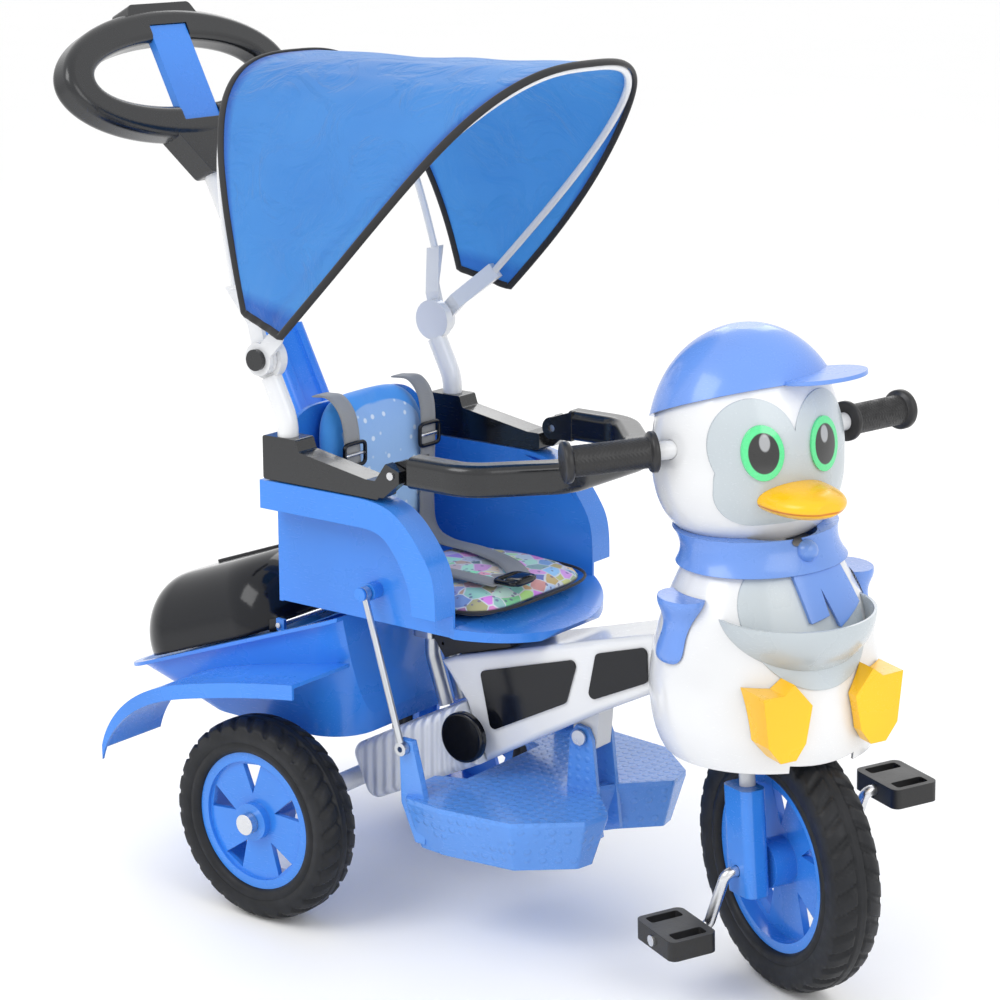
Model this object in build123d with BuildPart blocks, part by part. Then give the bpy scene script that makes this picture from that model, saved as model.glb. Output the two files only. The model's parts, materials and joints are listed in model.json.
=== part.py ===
from build123d import *
from math import asin, cos, pi, radians, sin
import os

# Children's tricycle with a push handle, a folding canopy and a penguin on the steering.
# Millimetres. +X points forward, +Y to the rider's left, +Z up.
# Places are measured from the middle of the rear axle, over the ground. ORIGIN_X moves
# every finished piece so that the row's origin is under the middle of the whole tricycle.

os.makedirs("parts", exist_ok=True)

# ---------------------------------------------------------------- driving dimensions
ORIGIN_X = -164.6

REAR_RADIUS = 108.0
REAR_TRACK = 355.0
REAR_TYRE_WIDTH = 50.0
REAR_RIM_RADIUS = 74.0
AXLE_RADIUS = 6.0

FRONT_AXLE_X = 523.0
FRONT_RADIUS = 130.0
FRONT_TYRE_WIDTH = 50.0
FRONT_RIM_RADIUS = 90.0
STEER_RAKE = 4.6
REST_TURN = -26.0

CRANK_LENGTH = 60.0
CRANK_RADIUS = 5.5
CRANK_ANGLE = -104.0
PEDAL_PLANE = 118.0
PEDAL_WIDTH = 52.0
PEDAL_LENGTH = 70.0
PEDAL_HEIGHT = 20.0

RUNNING_GAP = 0.05
PANEL_GAP = 0.5
WALL = 3.0

BEAM_HALF = 45.0
COVER_HALF = 60.0
CAP_RADIUS = 27.0
STEM_RADIUS = 12.5
HEAD_TUBE_RADIUS = 17.0
FORK_LEG_Y = 41.0
FORK_LEG_RADIUS = 8.0

SEAT_HALF = 122.0
ARM_HALF = 151.0
ARM_TOP = 461.0
PAN_TOP = 342.0
CUSHION_THICKNESS = 22.0

HUB_X = -20.0
HUB_Z = 586.0
HUB_PIN_RADIUS = 5.0
BOW_RADIUS = 4.0
REAR_BOW_ANGLE = 104.5
FRONT_BOW_ANGLE = 45.0
REAR_BOW_REACH = 300.0
FRONT_BOW_REACH = 420.0
FABRIC = 1.5
HEM_RADIUS = 86.0

POLE_LEAN = 27.0
POLE_RADIUS = 12.0
POLE_TOP = (-212.0, 0.0, 738.0)
RING_HALF_WIDTH = 171.0
RING_HALF_HEIGHT = 74.0
RING_CENTRE = 122.0
RING_DEPTH = 32.0

RIM_SLOPE = 19.6
BOX_HALF = 130.0
BOX_FLOOR = 183.0
LID_HINGE_X = -42.0
LID_HINGE_Z = 290.0

GUARD_HINGE = (150.0, 0.0, 489.0)
GUARD_PIN_RADIUS = 4.0

FOOTREST_PIN = (290.0, 0.0, 212.0)
FOOTREST_PIN_RADIUS = 4.0
ROD_TOP = (108.0, 0.0, 360.0)
ROD_FOOT = (155.0, 0.0, 205.0)
ROD_PLANE = 141.5
ROD_RADIUS = 3.5
ROD_EYE = 7.0
ROD_PEG_RADIUS = 3.0

# ---------------------------------------------------------------- reference frames
REAR_CENTRE = (0, 0, REAR_RADIUS)
FRONT_CENTRE = (FRONT_AXLE_X, 0, FRONT_RADIUS)
rake = radians(STEER_RAKE)
STEER = Plane(origin=FRONT_CENTRE, x_dir=(cos(rake), 0, sin(rake)), z_dir=(-sin(rake), 0, cos(rake)))
STEER_AXIS = Axis(FRONT_CENTRE, (-sin(rake), 0, cos(rake)))

lean = radians(POLE_LEAN)
POLE = Plane(origin=POLE_TOP, x_dir=(cos(lean), 0, sin(lean)), z_dir=(-sin(lean), 0, cos(lean)))
HANDLE = Plane(origin=POLE_TOP, x_dir=(0, 1, 0), z_dir=(cos(lean), 0, sin(lean)))

slope = radians(RIM_SLOPE)
RIM_MIDDLE = (-60, 0, 279.5)
BOX_RIM = Plane(origin=RIM_MIDDLE, x_dir=(cos(slope), 0, sin(slope)), z_dir=(-sin(slope), 0, cos(slope)))


def publish(builder, name, steered=False):
    """Label a finished piece, move it into the row's frame and write its STEP file."""
    if steered:
        builder.part = builder.part.rotate(STEER_AXIS, REST_TURN)
    builder.part = builder.part.moved(Location((ORIGIN_X, 0, 0)))
    builder.part.label = name
    export_step(builder.part, f"parts/{name}.step")


def across(centre, length):
    """Plane across the tricycle whose extrusion of the given length is centred on a point."""
    x, y, z = centre
    return Plane(origin=(x, y - length / 2, z), x_dir=(-1, 0, 0), z_dir=(0, 1, 0))


def bar_across(centre, radius, length, mode=Mode.ADD):
    """Round bar lying across the tricycle, in the part that is being built."""
    with BuildSketch(across(centre, length)) as section:
        Circle(radius)
    extrude(section.sketch, amount=length, mode=mode)


def slab_across(outline, inner, outer, mode=Mode.ADD):
    """Extrude an outline of (x, z) points between two distances on the right side."""
    with BuildSketch(Plane.XZ.offset(inner)) as section:
        Polygon(*outline, align=None)
    extrude(section.sketch, amount=outer - inner, mode=mode)


def tube_along(points, radius, corner, mode=Mode.ADD):
    """Round rod along straight runs joined by arcs."""
    with BuildLine() as route:
        FilletPolyline(*points, radius=corner)
    start = route.wires()[0] @ 0
    heading = route.wires()[0] % 0
    with BuildSketch(Plane(origin=start, z_dir=heading)) as section:
        Circle(radius)
    sweep(section.sketch, path=route.wires()[0], mode=mode)


# ---------------------------------------------------------------- wheels
def make_tyre(name, centre, radius, bore, width, steered=False):
    """Moulded tyre with round shoulders and a groove in each side wall."""
    half = width / 2
    shoulder = radius * 0.045
    with BuildPart() as tyre:
        with BuildSketch(Plane(origin=centre, x_dir=(0, 1, 0), z_dir=(1, 0, 0))):
            with BuildLine():
                Polyline((-half, radius - shoulder), (-half, bore), (half, bore), (half, radius - shoulder))
                ThreePointArc((half, radius - shoulder), (0, radius), (-half, radius - shoulder))
            make_face()
            fillet(vertices().group_by(Axis.Y)[1:], radius=width * 0.16)
            groove = bore + (radius - bore) * 0.4
            with Locations((half, groove), (-half, groove)):
                Circle(1.6, mode=Mode.SUBTRACT)
        revolve(axis=Axis(centre, (0, 1, 0)))
    publish(tyre, name, steered)


def make_rim(name, centre, outer, bore, hub_half, ring_half, web, steered=False):
    """Spoked disc: hub, web with five swept windows and outer ring."""
    web_low, web_high = web
    hub = outer * 0.27
    with BuildPart() as rim:
        with BuildSketch(Plane(origin=centre, x_dir=(0, 1, 0), z_dir=(1, 0, 0))):
            with Locations((0, (bore + hub) / 2)):
                Rectangle(2 * hub_half, hub - bore)
            with Locations(((web_low + web_high) / 2, (hub + outer) / 2 - 1)):
                Rectangle(web_high - web_low, outer - hub + 2 - 4)
            with Locations((0, outer - 5)):
                Rectangle(2 * ring_half, 10)
        revolve(axis=Axis(centre, (0, 1, 0)))
        with BuildSketch(Plane(origin=centre, x_dir=(1, 0, 0), z_dir=(0, -1, 0))):
            with PolarLocations(0, 5, start_angle=20):
                Polygon(
                    (outer * 0.38, outer * 0.04),
                    (outer * 0.83, -outer * 0.14),
                    (outer * 0.80, outer * 0.20),
                    align=None,
                )
        extrude(amount=3 * hub_half, both=True, mode=Mode.SUBTRACT)
    publish(rim, name, steered)


for side, sign in (("right", -1), ("left", 1)):
    rear_centre = (0, sign * REAR_TRACK / 2, REAR_RADIUS)
    web_range = sorted((sign * 9, sign * 15))
    make_tyre(f"rear_tyre_{side}", rear_centre, REAR_RADIUS, REAR_RIM_RADIUS, REAR_TYRE_WIDTH)
    make_rim(f"rear_rim_{side}", rear_centre, REAR_RIM_RADIUS, AXLE_RADIUS + RUNNING_GAP, 24, 19, web_range)

make_tyre("front_tyre", FRONT_CENTRE, FRONT_RADIUS, FRONT_RIM_RADIUS, FRONT_TYRE_WIDTH, steered=True)
make_rim("front_rim", FRONT_CENTRE, FRONT_RIM_RADIUS, CRANK_RADIUS, 28, 19, (-4, 4), steered=True)

# ---------------------------------------------------------------- rear axle and its carrier
REAR_HUB_OUTER = REAR_TRACK / 2 + 24
NUT_LENGTH = 9.0
with BuildPart() as rear_axle:
    bar_across(REAR_CENTRE, AXLE_RADIUS, 2 * (REAR_HUB_OUTER + NUT_LENGTH - 3))
publish(rear_axle, "rear_axle")

with BuildPart() as axle_nuts:
    for sign in (-1, 1):
        middle = sign * (REAR_HUB_OUTER + PANEL_GAP + NUT_LENGTH / 2)
        bar_across((0, middle, REAR_RADIUS), 11, NUT_LENGTH)
        bar_across((0, middle - sign * 1.5, REAR_RADIUS), AXLE_RADIUS, NUT_LENGTH - 3, mode=Mode.SUBTRACT)
publish(axle_nuts, "axle_nuts")

CARRIER_HALF = REAR_TRACK / 2 - 24 - PANEL_GAP
with BuildPart() as rear_frame:
    bar_across(REAR_CENTRE, 11, 2 * CARRIER_HALF)
    with BuildSketch(Plane.XZ):
        Polygon((-8, 114), (2, 98), (30, 112), (20, 136), align=None)
    extrude(amount=20, both=True)
    bar_across(REAR_CENTRE, AXLE_RADIUS, 2 * CARRIER_HALF, mode=Mode.SUBTRACT)
publish(rear_frame, "rear_frame")

# ---------------------------------------------------------------- beam and its covers
COVER_REAR_TOP = (14, 154)
COVER_REAR_FOOT = (41, 97)
JOINT_TOP = (160, 229)
JOINT_FOOT = (186, 169)
with BuildPart() as rear_cover:
    with BuildSketch(Plane.XZ):
        Polygon(COVER_REAR_TOP, COVER_REAR_FOOT, JOINT_FOOT, JOINT_TOP, align=None)
        fillet(vertices().sort_by(Axis.X)[:2], radius=14)
    extrude(amount=COVER_HALF, both=True)
    fillet(edges().filter_by(Plane.XZ), radius=9)
    for step in range(6):
        share = 0.14 + step * 0.14
        rib_x = COVER_REAR_TOP[0] + share * (JOINT_TOP[0] - COVER_REAR_TOP[0])
        rib_z = COVER_REAR_TOP[1] + share * (JOINT_TOP[1] - COVER_REAR_TOP[1])
        with BuildSketch(Plane.XZ):
            with Locations((rib_x, rib_z)):
                Circle(2.2)
        extrude(amount=COVER_HALF, both=True, mode=Mode.SUBTRACT)
publish(rear_cover, "rear_cover")

BEAM_OUTLINE = (
    (187, 169.5),
    (329, 252),
    (400, 289),
    (398, 347),
    (316, 324),
    (146, 276),
    (128, 268),
    (161, 229.6),
)
with BuildPart() as main_beam:
    with BuildSketch(Plane.XZ):
        Polygon(*BEAM_OUTLINE, align=None)
    extrude(amount=BEAM_HALF, both=True)
    fillet(edges().filter_by(Axis.Y).group_by(Axis.X)[-1], radius=8)
    fillet(edges().filter_by(Plane.XZ), radius=7)
    with BuildSketch(Plane.XZ):
        Polygon((276, 206), (304, 200), (308, 246), (276, 228), align=None)
    extrude(amount=13, both=True)
    bar_across(FOOTREST_PIN, FOOTREST_PIN_RADIUS, 40, mode=Mode.SUBTRACT)
publish(main_beam, "main_beam")

with BuildPart() as beam_inserts:
    slab_across(((196, 206), (290, 255), (304, 304), (182, 268)), BEAM_HALF, BEAM_HALF + 2.5)
    slab_across(((316, 262), (388, 296), (386, 332), (326, 314)), BEAM_HALF, BEAM_HALF + 2.5)
    fillet(edges().filter_by(Axis.Y), radius=6)
    mirror(about=Plane.XZ)
publish(beam_inserts, "beam_inserts")

with BuildPart() as side_caps:
    for sign in (-1, 1):
        bar_across((173, sign * (COVER_HALF + 4), 199), CAP_RADIUS, 8)
    fillet(edges().filter_by(GeomType.CIRCLE).group_by(Axis.Y)[0], radius=3)
    fillet(edges().filter_by(GeomType.CIRCLE).group_by(Axis.Y)[-1], radius=3)
publish(side_caps, "side_caps")

with BuildPart() as footrest_pin:
    bar_across(FOOTREST_PIN, FOOTREST_PIN_RADIUS, 44)
    for sign in (-1, 1):
        bar_across((FOOTREST_PIN[0], sign * 23.5, FOOTREST_PIN[2]), 8, 3)
publish(footrest_pin, "footrest_pin")

HEAD_LOW = 168.0
HEAD_HIGH = 226.0
with BuildPart() as head_tube:
    with BuildSketch(STEER.offset(HEAD_LOW)):
        Circle(HEAD_TUBE_RADIUS)
    extrude(amount=HEAD_HIGH - HEAD_LOW)
    with BuildSketch(Plane.XZ):
        Polygon((402, 296), (500, 305), (498, 342), (400.5, 340), align=None)
    extrude(amount=13, both=True)
    with BuildSketch(STEER.offset(HEAD_LOW - 5)):
        Circle(STEM_RADIUS + RUNNING_GAP)
    extrude(amount=HEAD_HIGH - HEAD_LOW + 10, mode=Mode.SUBTRACT)
publish(head_tube, "head_tube")

# ---------------------------------------------------------------- seat
ARM_CURVE = ((-22, ARM_TOP), (100, ARM_TOP), (158, 449), (192, 412), (206, 350))
with BuildPart() as seat_column:
    with BuildSketch(Plane.XZ):
        Polygon((128, 269.5), (146, 277), (214, 297), (196, 325.5), (112, 325.5), (104, 300), align=None)
    extrude(amount=36, both=True)
    for step in range(5):
        with BuildSketch(Plane.XZ):
            with Locations((112 + 3.2 * step, 320 - 9 * step)):
                Circle(1.8)
        extrude(amount=36, both=True, mode=Mode.SUBTRACT)
publish(seat_column, "seat_column")


def arm_band(drop, inner, outer):
    """Band under the armrest's curved top, on the right side."""
    with BuildSketch(Plane.XZ.offset(inner)) as section:
        with BuildLine():
            Line(ARM_CURVE[0], ARM_CURVE[1])
            Spline(*ARM_CURVE[1:], tangents=((1, 0), (0, -1)))
            Line(ARM_CURVE[-1], (ARM_CURVE[-1][0] - drop, ARM_CURVE[-1][1]))
            Spline(
                (ARM_CURVE[4][0] - drop, ARM_CURVE[4][1]),
                (ARM_CURVE[3][0] - drop, ARM_CURVE[3][1] - drop * 0.45),
                (ARM_CURVE[2][0] - drop * 0.5, ARM_CURVE[2][1] - drop * 0.9),
                (ARM_CURVE[1][0], ARM_TOP - drop),
                tangents=((0, 1), (-1, 0)),
            )
            Polyline((ARM_CURVE[1][0], ARM_TOP - drop), (ARM_CURVE[0][0], ARM_TOP - drop), ARM_CURVE[0])
        make_face()
    extrude(section.sketch, amount=outer - inner)


SIDE_WALL = ((-22, 330), (206, 326), (206, 350), (192, 405), (160, 442), (112, 457), (-22, 457))
with BuildPart() as seat_shell:
    slab_across(SIDE_WALL, SEAT_HALF - WALL, SEAT_HALF)
    arm_band(5, SEAT_HALF - WALL, ARM_HALF)
    arm_band(30, ARM_HALF - WALL, ARM_HALF)
    slab_across(((-22, 431), (-22, ARM_TOP), (-18, ARM_TOP), (-18, 431)), SEAT_HALF - WALL, ARM_HALF)
    mirror(about=Plane.XZ)
    with BuildSketch(Plane.XZ):
        Polygon((-22, 326), (200, 326), (262, 316), (270, 324), (205, 336), (-22, 336), align=None)
    extrude(amount=SEAT_HALF, both=True)
    with BuildSketch(Plane.XY.offset(300)):
        with BuildLine():
            Polyline((205, SEAT_HALF + 1), (280, SEAT_HALF + 1), (280, -SEAT_HALF - 1), (205, -SEAT_HALF - 1))
            ThreePointArc((205, -SEAT_HALF - 1), (271, 0), (205, SEAT_HALF + 1))
        make_face()
    extrude(amount=50, mode=Mode.SUBTRACT)
    with BuildSketch(Plane.YZ.offset(-24)):
        with Locations((0, 425)):
            RectangleRounded(2 * SEAT_HALF, 200, 60)
        with Locations((0, 370)):
            Rectangle(2 * SEAT_HALF, 90)
    extrude(amount=5)
    for sign in (-1, 1):
        bar_across((ROD_TOP[0], sign * (SEAT_HALF + 7), ROD_TOP[2]), 9, 14.2)
        bar_across((ROD_TOP[0], sign * ROD_PLANE, ROD_TOP[2]), ROD_PEG_RADIUS, 14)
        bar_across((ROD_TOP[0], sign * (ROD_PLANE + 6.5), ROD_TOP[2]), ROD_EYE, 3)
publish(seat_shell, "seat_shell")

with BuildPart() as seat_cushion:
    with BuildSketch(Plane.XY.offset(PAN_TOP - 5)):
        with Locations((138, 0)):
            RectangleRounded(190, 216, 50)
    extrude(amount=CUSHION_THICKNESS)
    fillet(faces().sort_by(Axis.Z)[-1].edges(), radius=9)
publish(seat_cushion, "seat_cushion")

BACK_CUSHION_X = -18.0
with BuildPart() as back_cushion:
    with BuildSketch(Plane.YZ.offset(BACK_CUSHION_X)):
        with Locations((0, 441)):
            RectangleRounded(186, 202, 66)
        with Locations((0, 400)):
            Rectangle(186, 110)
    extrude(amount=42)
    fillet(faces().sort_by(Axis.X)[-1].edges(), radius=9)
publish(back_cushion, "back_cushion")

STRAP = 1.6
with BuildPart() as harness_straps:
    for sign in (-1, 1):
        with BuildSketch(Plane.XZ.offset(sign * 60 - 12)):
            with BuildLine():
                Polyline((25.5, 500), (25.5, 385), (50, 361.5), (170, 361.5))
            trace(line_width=STRAP)
        extrude(amount=24)
publish(harness_straps, "harness_straps")

with BuildPart() as harness_buckles:
    for sign in (-1, 1):
        with BuildSketch(Plane.YZ.offset(26.6)):
            with Locations((sign * 60, 440)):
                RectangleRounded(32, 20, 4)
        extrude(amount=5)
    with BuildSketch(Plane.XY.offset(362.6)):
        with Locations((196, 0)):
            RectangleRounded(40, 150, 8)
    extrude(amount=9)
publish(harness_buckles, "harness_buckles")

with BuildPart() as seat_struts:
    for sign in (-1, 1):
        tube_along([(112, sign * 14, 209), (94, sign * 14, 262), (94, sign * 14, 290)], 8, 30)
    with BuildSketch(Plane.XY.offset(282)):
        with Locations((90, 0)):
            RectangleRounded(27, 56, 6)
    extrude(amount=43.5)
publish(seat_struts, "seat_struts")

# ---------------------------------------------------------------- luggage box, lid and fenders
BOX_LENGTH = 372.0
BOX_SHIFT = -25.0


def box_loft(inset, floor, rise, mode=Mode.ADD):
    """Tub between the sloping rim and the flat floor, drawn in by the given inset."""
    with BuildSketch(BOX_RIM.offset(rise)) as mouth:
        with Locations((BOX_SHIFT, 0)):
            RectangleRounded(BOX_LENGTH - 2 * inset, 2 * (BOX_HALF - inset), 60 - inset)
    with BuildSketch(Plane.XY.offset(floor)) as base:
        with Locations((-50, 0)):
            RectangleRounded(214 - 2 * inset, 2 * (BOX_HALF - 12 - inset), 50 - inset)
    loft([mouth.sketch, base.sketch], mode=mode)


def trim_front(front):
    """Cut everything ahead of an upright plane across the tricycle."""
    with BuildSketch(Plane.XZ) as ahead:
        Polygon((front, 150), (front + 120, 150), (front + 120, 400), (front, 400), align=None)
    extrude(ahead.sketch, amount=BOX_HALF + 20, both=True, mode=Mode.SUBTRACT)


BOX_FRONT = 62.0
PARTITION_X = -36.0
PARTITION_TOP = 284.0
HINGE_PIN_RADIUS = 3.0
with BuildPart() as box_space:
    box_loft(WALL, BOX_FLOOR + WALL, 0.5)
    trim_front(BOX_FRONT - WALL)

with BuildPart() as trunk_box:
    box_loft(0, BOX_FLOOR, 0)
    trim_front(BOX_FRONT)
    add(box_space.part, mode=Mode.SUBTRACT)
    with BuildSketch(Plane.XZ):
        with Locations((PARTITION_X + WALL / 2, (BOX_FLOOR + PARTITION_TOP) / 2)):
            Rectangle(WALL, PARTITION_TOP - BOX_FLOOR - 1)
    extrude(amount=BOX_HALF - 18, both=True)
    with BuildSketch(BOX_RIM.offset(-4)):
        with Locations((BOX_SHIFT, 0)):
            RectangleRounded(BOX_LENGTH + 14, 2 * BOX_HALF + 14, 66)
            RectangleRounded(BOX_LENGTH - 3, 2 * BOX_HALF - 3, 59, mode=Mode.SUBTRACT)
    extrude(amount=4)
    for ear_y in (-104, 100):
        with BuildSketch(Plane.XZ.offset(-ear_y)):
            Polygon((PARTITION_X + 1, 270), (PARTITION_X + 1, 297), (-46, 297), (-46, 286), align=None)
        extrude(amount=-4)
    bar_across((LID_HINGE_X, 0, LID_HINGE_Z), HINGE_PIN_RADIUS, 240, mode=Mode.SUBTRACT)
    trim_front(BOX_FRONT)
publish(trunk_box, "trunk_box")

with BuildPart() as lid_hinge_pin:
    bar_across((LID_HINGE_X, 0, LID_HINGE_Z), HINGE_PIN_RADIUS, 212)
publish(lid_hinge_pin, "lid_hinge_pin")

LID_MIDDLE = -92.0
LID_LAYERS = ((1, 214, 114, 52), (38, 206, 109, 50), (66, 176, 92, 44), (80, 116, 56, 30))


def lid_loft(inset, mode=Mode.ADD):
    """Helmet-shaped dome over the box's mouth, drawn in by the given inset."""
    layers = []
    for height, length, half, corner in LID_LAYERS:
        with BuildSketch(BOX_RIM.offset(height - inset)) as layer:
            with Locations((LID_MIDDLE, 0)):
                RectangleRounded(length - 2 * inset, 2 * (half - inset), corner - inset)
        layers.append(layer.sketch)
    loft(layers, mode=mode)


with BuildPart() as trunk_lid:
    lid_loft(0)
    lid_loft(WALL, mode=Mode.SUBTRACT)
    for rib_y in (-46, 0, 46):
        with BuildSketch(BOX_RIM.offset(60)):
            with Locations((LID_MIDDLE, rib_y)):
                RectangleRounded(104, 12, 5)
        extrude(amount=23 if rib_y == 0 else 19)
    for lug_y in (-99.5, 95.5):
        with BuildSketch(Plane.XZ.offset(-lug_y)):
            Polygon((-60, 278), (-60, 292), (-45, 297), (-39, 293), (-39, 286), (-46, 281), align=None)
        extrude(amount=-4)
    lid_loft(WALL, mode=Mode.SUBTRACT)
    bar_across((LID_HINGE_X, 0, LID_HINGE_Z), HINGE_PIN_RADIUS + RUNNING_GAP, 240, mode=Mode.SUBTRACT)
publish(trunk_lid, "trunk_lid")

FENDER_LINE = ((-208, 150), (-186, 190), (-158, 214), (-110, 236), (-59, 249), (10, 263), (67, 272))
FENDER_OUTER = 208.0


def fender_band(drop, inner, outer):
    """Strip under the fender's crest line, on the right side."""
    low = [(x, z - drop) for x, z in FENDER_LINE]
    with BuildSketch(Plane.XZ.offset(inner)) as section:
        with BuildLine():
            Spline(*FENDER_LINE)
            Line(FENDER_LINE[-1], low[-1])
            Spline(*reversed(low))
            Line(low[0], FENDER_LINE[0])
        make_face()
    extrude(section.sketch, amount=outer - inner)


with BuildPart() as fenders:
    fender_band(4, BOX_HALF - 12, FENDER_OUTER)
    fender_band(16, FENDER_OUTER - WALL, FENDER_OUTER)
    box_loft(0, BOX_FLOOR, 0, mode=Mode.SUBTRACT)
    mirror(about=Plane.XZ)
publish(fenders, "fenders")

# ---------------------------------------------------------------- push handle
POLE_FOOT = 374.0
with BuildPart() as push_pole:
    with BuildSketch(POLE.offset(-POLE_FOOT)):
        Circle(POLE_RADIUS)
        Circle(POLE_RADIUS - 1.5, mode=Mode.SUBTRACT)
    extrude(amount=POLE_FOOT + 36)
publish(push_pole, "push_pole")

CHANNEL_TOP = 176.0
with BuildPart() as pole_cover:
    with BuildSketch(POLE.offset(-POLE_FOOT)):
        with Locations((2, 0)):
            RectangleRounded(32, 62, 8)
        with Locations((20, 0)):
            Rectangle(10, 30, mode=Mode.SUBTRACT)
    extrude(amount=POLE_FOOT - CHANNEL_TOP)
    with BuildSketch(Plane.XZ):
        Polygon((-24.5, 414), (-24.5, 470), (-66, 480), (-38, 414), align=None)
    extrude(amount=20, both=True)
    with BuildSketch(POLE.offset(-POLE_FOOT - 20)):
        Circle(POLE_RADIUS)
    extrude(amount=POLE_FOOT + 40, mode=Mode.SUBTRACT)
publish(pole_cover, "pole_cover")

RING_TUBE = 40.0
with BuildPart() as handle_ring:
    with BuildSketch(HANDLE.offset(-RING_DEPTH / 2)):
        with Locations((0, RING_CENTRE)):
            Ellipse(RING_HALF_WIDTH, RING_HALF_HEIGHT)
            Ellipse(RING_HALF_WIDTH - RING_TUBE, RING_HALF_HEIGHT - RING_TUBE * 0.9, mode=Mode.SUBTRACT)
    extrude(amount=RING_DEPTH)
    fillet(edges().filter_by(GeomType.ELLIPSE), radius=9)
    with BuildSketch(HANDLE.offset(-RING_DEPTH / 2 + 2)):
        Polygon((-16, 6), (-58, 76), (58, 76), (16, 6), align=None)
        Polygon((-46, 202), (-62, 170), (62, 170), (46, 202), align=None)
        fillet(vertices(), radius=7)
    extrude(amount=RING_DEPTH - 4)
    with BuildSketch(HANDLE.offset(5)):
        with Locations((0, RING_CENTRE)):
            Rectangle(57, 110)
    extrude(amount=30, mode=Mode.SUBTRACT)
    with BuildSketch(POLE):
        Circle(POLE_RADIUS)
    extrude(amount=36.5, mode=Mode.SUBTRACT)
publish(handle_ring, "handle_ring")

with BuildPart() as handle_panel:
    with BuildSketch(HANDLE.offset(5)):
        with Locations((0, RING_CENTRE)):
            Rectangle(56, 109)
    extrude(amount=9)
publish(handle_panel, "handle_panel")

# ---------------------------------------------------------------- armrests, posts and guard
ARM_INNER = 121.0
ARM_OUTER = 149.0
POST_Y = 136.0
POST_RADIUS = 11.0
POST_FOOT = 468.0
ARMREST = ((-18.5, 462.2), (-18.5, 508), (26, 508), (30, 496), (118, 481), (134, 481), (134, 462.2))
HINGE_CHEEK = ((128, 465), (128, 479), (143, 500), (160, 494), (160, 482), (140, 465))
with BuildPart() as armrests:
    slab_across(ARMREST, ARM_INNER, ARM_OUTER)
    fillet(edges().filter_by(Axis.Y), radius=3)
    slab_across(HINGE_CHEEK, POST_Y + 1, ARM_OUTER)
    with BuildSketch(Plane.XY.offset(POST_FOOT)):
        with Locations((5, -POST_Y)):
            Circle(POST_RADIUS)
    extrude(amount=50, mode=Mode.SUBTRACT)
    bar_across(GUARD_HINGE, GUARD_PIN_RADIUS, 2 * ARM_OUTER + 2, mode=Mode.SUBTRACT)
    mirror(about=Plane.XZ)
publish(armrests, "armrests")

with BuildPart() as guard_pins:
    for sign in (-1, 1):
        bar_across((GUARD_HINGE[0], sign * (ARM_OUTER - 12), GUARD_HINGE[2]), GUARD_PIN_RADIUS, 28)
publish(guard_pins, "guard_pins")

GUARD_Z = 494.0
GUARD_INNER = 121.0
GUARD_ROUTE = ((170, -135), (236, -135), (301, -62), (301, 62), (236, 135), (170, 135))
with BuildPart() as guard_bar:
    with BuildLine(Plane.XY.offset(GUARD_Z)):
        FilletPolyline(*GUARD_ROUTE, radius=44)
    with BuildSketch(Plane(origin=(*GUARD_ROUTE[0], GUARD_Z), x_dir=(0, 1, 0), z_dir=(1, 0, 0))):
        RectangleRounded(28, 32, 8)
    sweep()
    for sign in (-1, 1):
        lug_middle = sign * (GUARD_INNER + 7)
        lug_hinge = (GUARD_HINGE[0], lug_middle, GUARD_HINGE[2])
        bar_across(lug_hinge, 12, 15)
        with BuildSketch(across((0, lug_middle, 0), 15)):
            Polygon((-150, 478), (-176, 478), (-176, 510), (-150, 501), align=None)
        extrude(amount=15)
        bar_across(lug_hinge, GUARD_PIN_RADIUS + RUNNING_GAP, 16, mode=Mode.SUBTRACT)
publish(guard_bar, "guard_bar")

HUB_POST = (POST_Y - 5, POST_Y + 5)
HUB_REAR = (POST_Y + 5.4, POST_Y + 10.4)
HUB_FRONT = (POST_Y + 10.8, POST_Y + 15.8)
with BuildPart() as canopy_posts:
    for sign in (-1, 1):
        y = sign * POST_Y
        tube_along([(5, y, POST_FOOT), (5, y, 524), (HUB_X + 4, y, HUB_Z - 20)], POST_RADIUS - 0.2, 50)
        bar_across((HUB_X, y, HUB_Z), 22, HUB_POST[1] - HUB_POST[0])
        bar_across((HUB_X, sign * (HUB_POST[1] + 7), HUB_Z), HUB_PIN_RADIUS, 16)
publish(canopy_posts, "canopy_posts")

with BuildPart() as hub_buttons:
    for sign in (-1, 1):
        bar_across((HUB_X, sign * (HUB_FRONT[1] + 3), HUB_Z), 11, 5)
        bar_across((HUB_X, sign * (HUB_FRONT[1] + 2), HUB_Z), HUB_PIN_RADIUS, 5, mode=Mode.SUBTRACT)
publish(hub_buttons, "hub_buttons")

# ---------------------------------------------------------------- canopy


def fan_plane(angle):
    """Plane through both hubs: local x to the left, local y away from the hub line."""
    turn = radians(angle)
    return Plane(origin=(HUB_X, 0, HUB_Z), x_dir=(0, 1, 0), z_dir=(sin(turn), 0, -cos(turn)))


def hoop_shares(reach, foot):
    """Evenly spaced shares of a hoop whose two ends stand at the given distance from the hubs."""
    first = asin((foot / reach) ** 1.5) / pi
    return [first + (1 - 2 * first) * step / 12 for step in range(13)]


def hoop_point(share, half, reach):
    """Point of a hoop with squared shoulders; share runs from 0 on the left to 1 on the right."""
    turn = pi * share
    side = cos(turn)
    return (half * (abs(side) ** (2 / 3)) * (1 if side > 0 else -1), reach * sin(turn) ** (2 / 3))


ARM_WIDTH = 18.0
ARM_END = 78.0
INNER_BEND = 30.0
OUTER_BEND = 38.0


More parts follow.
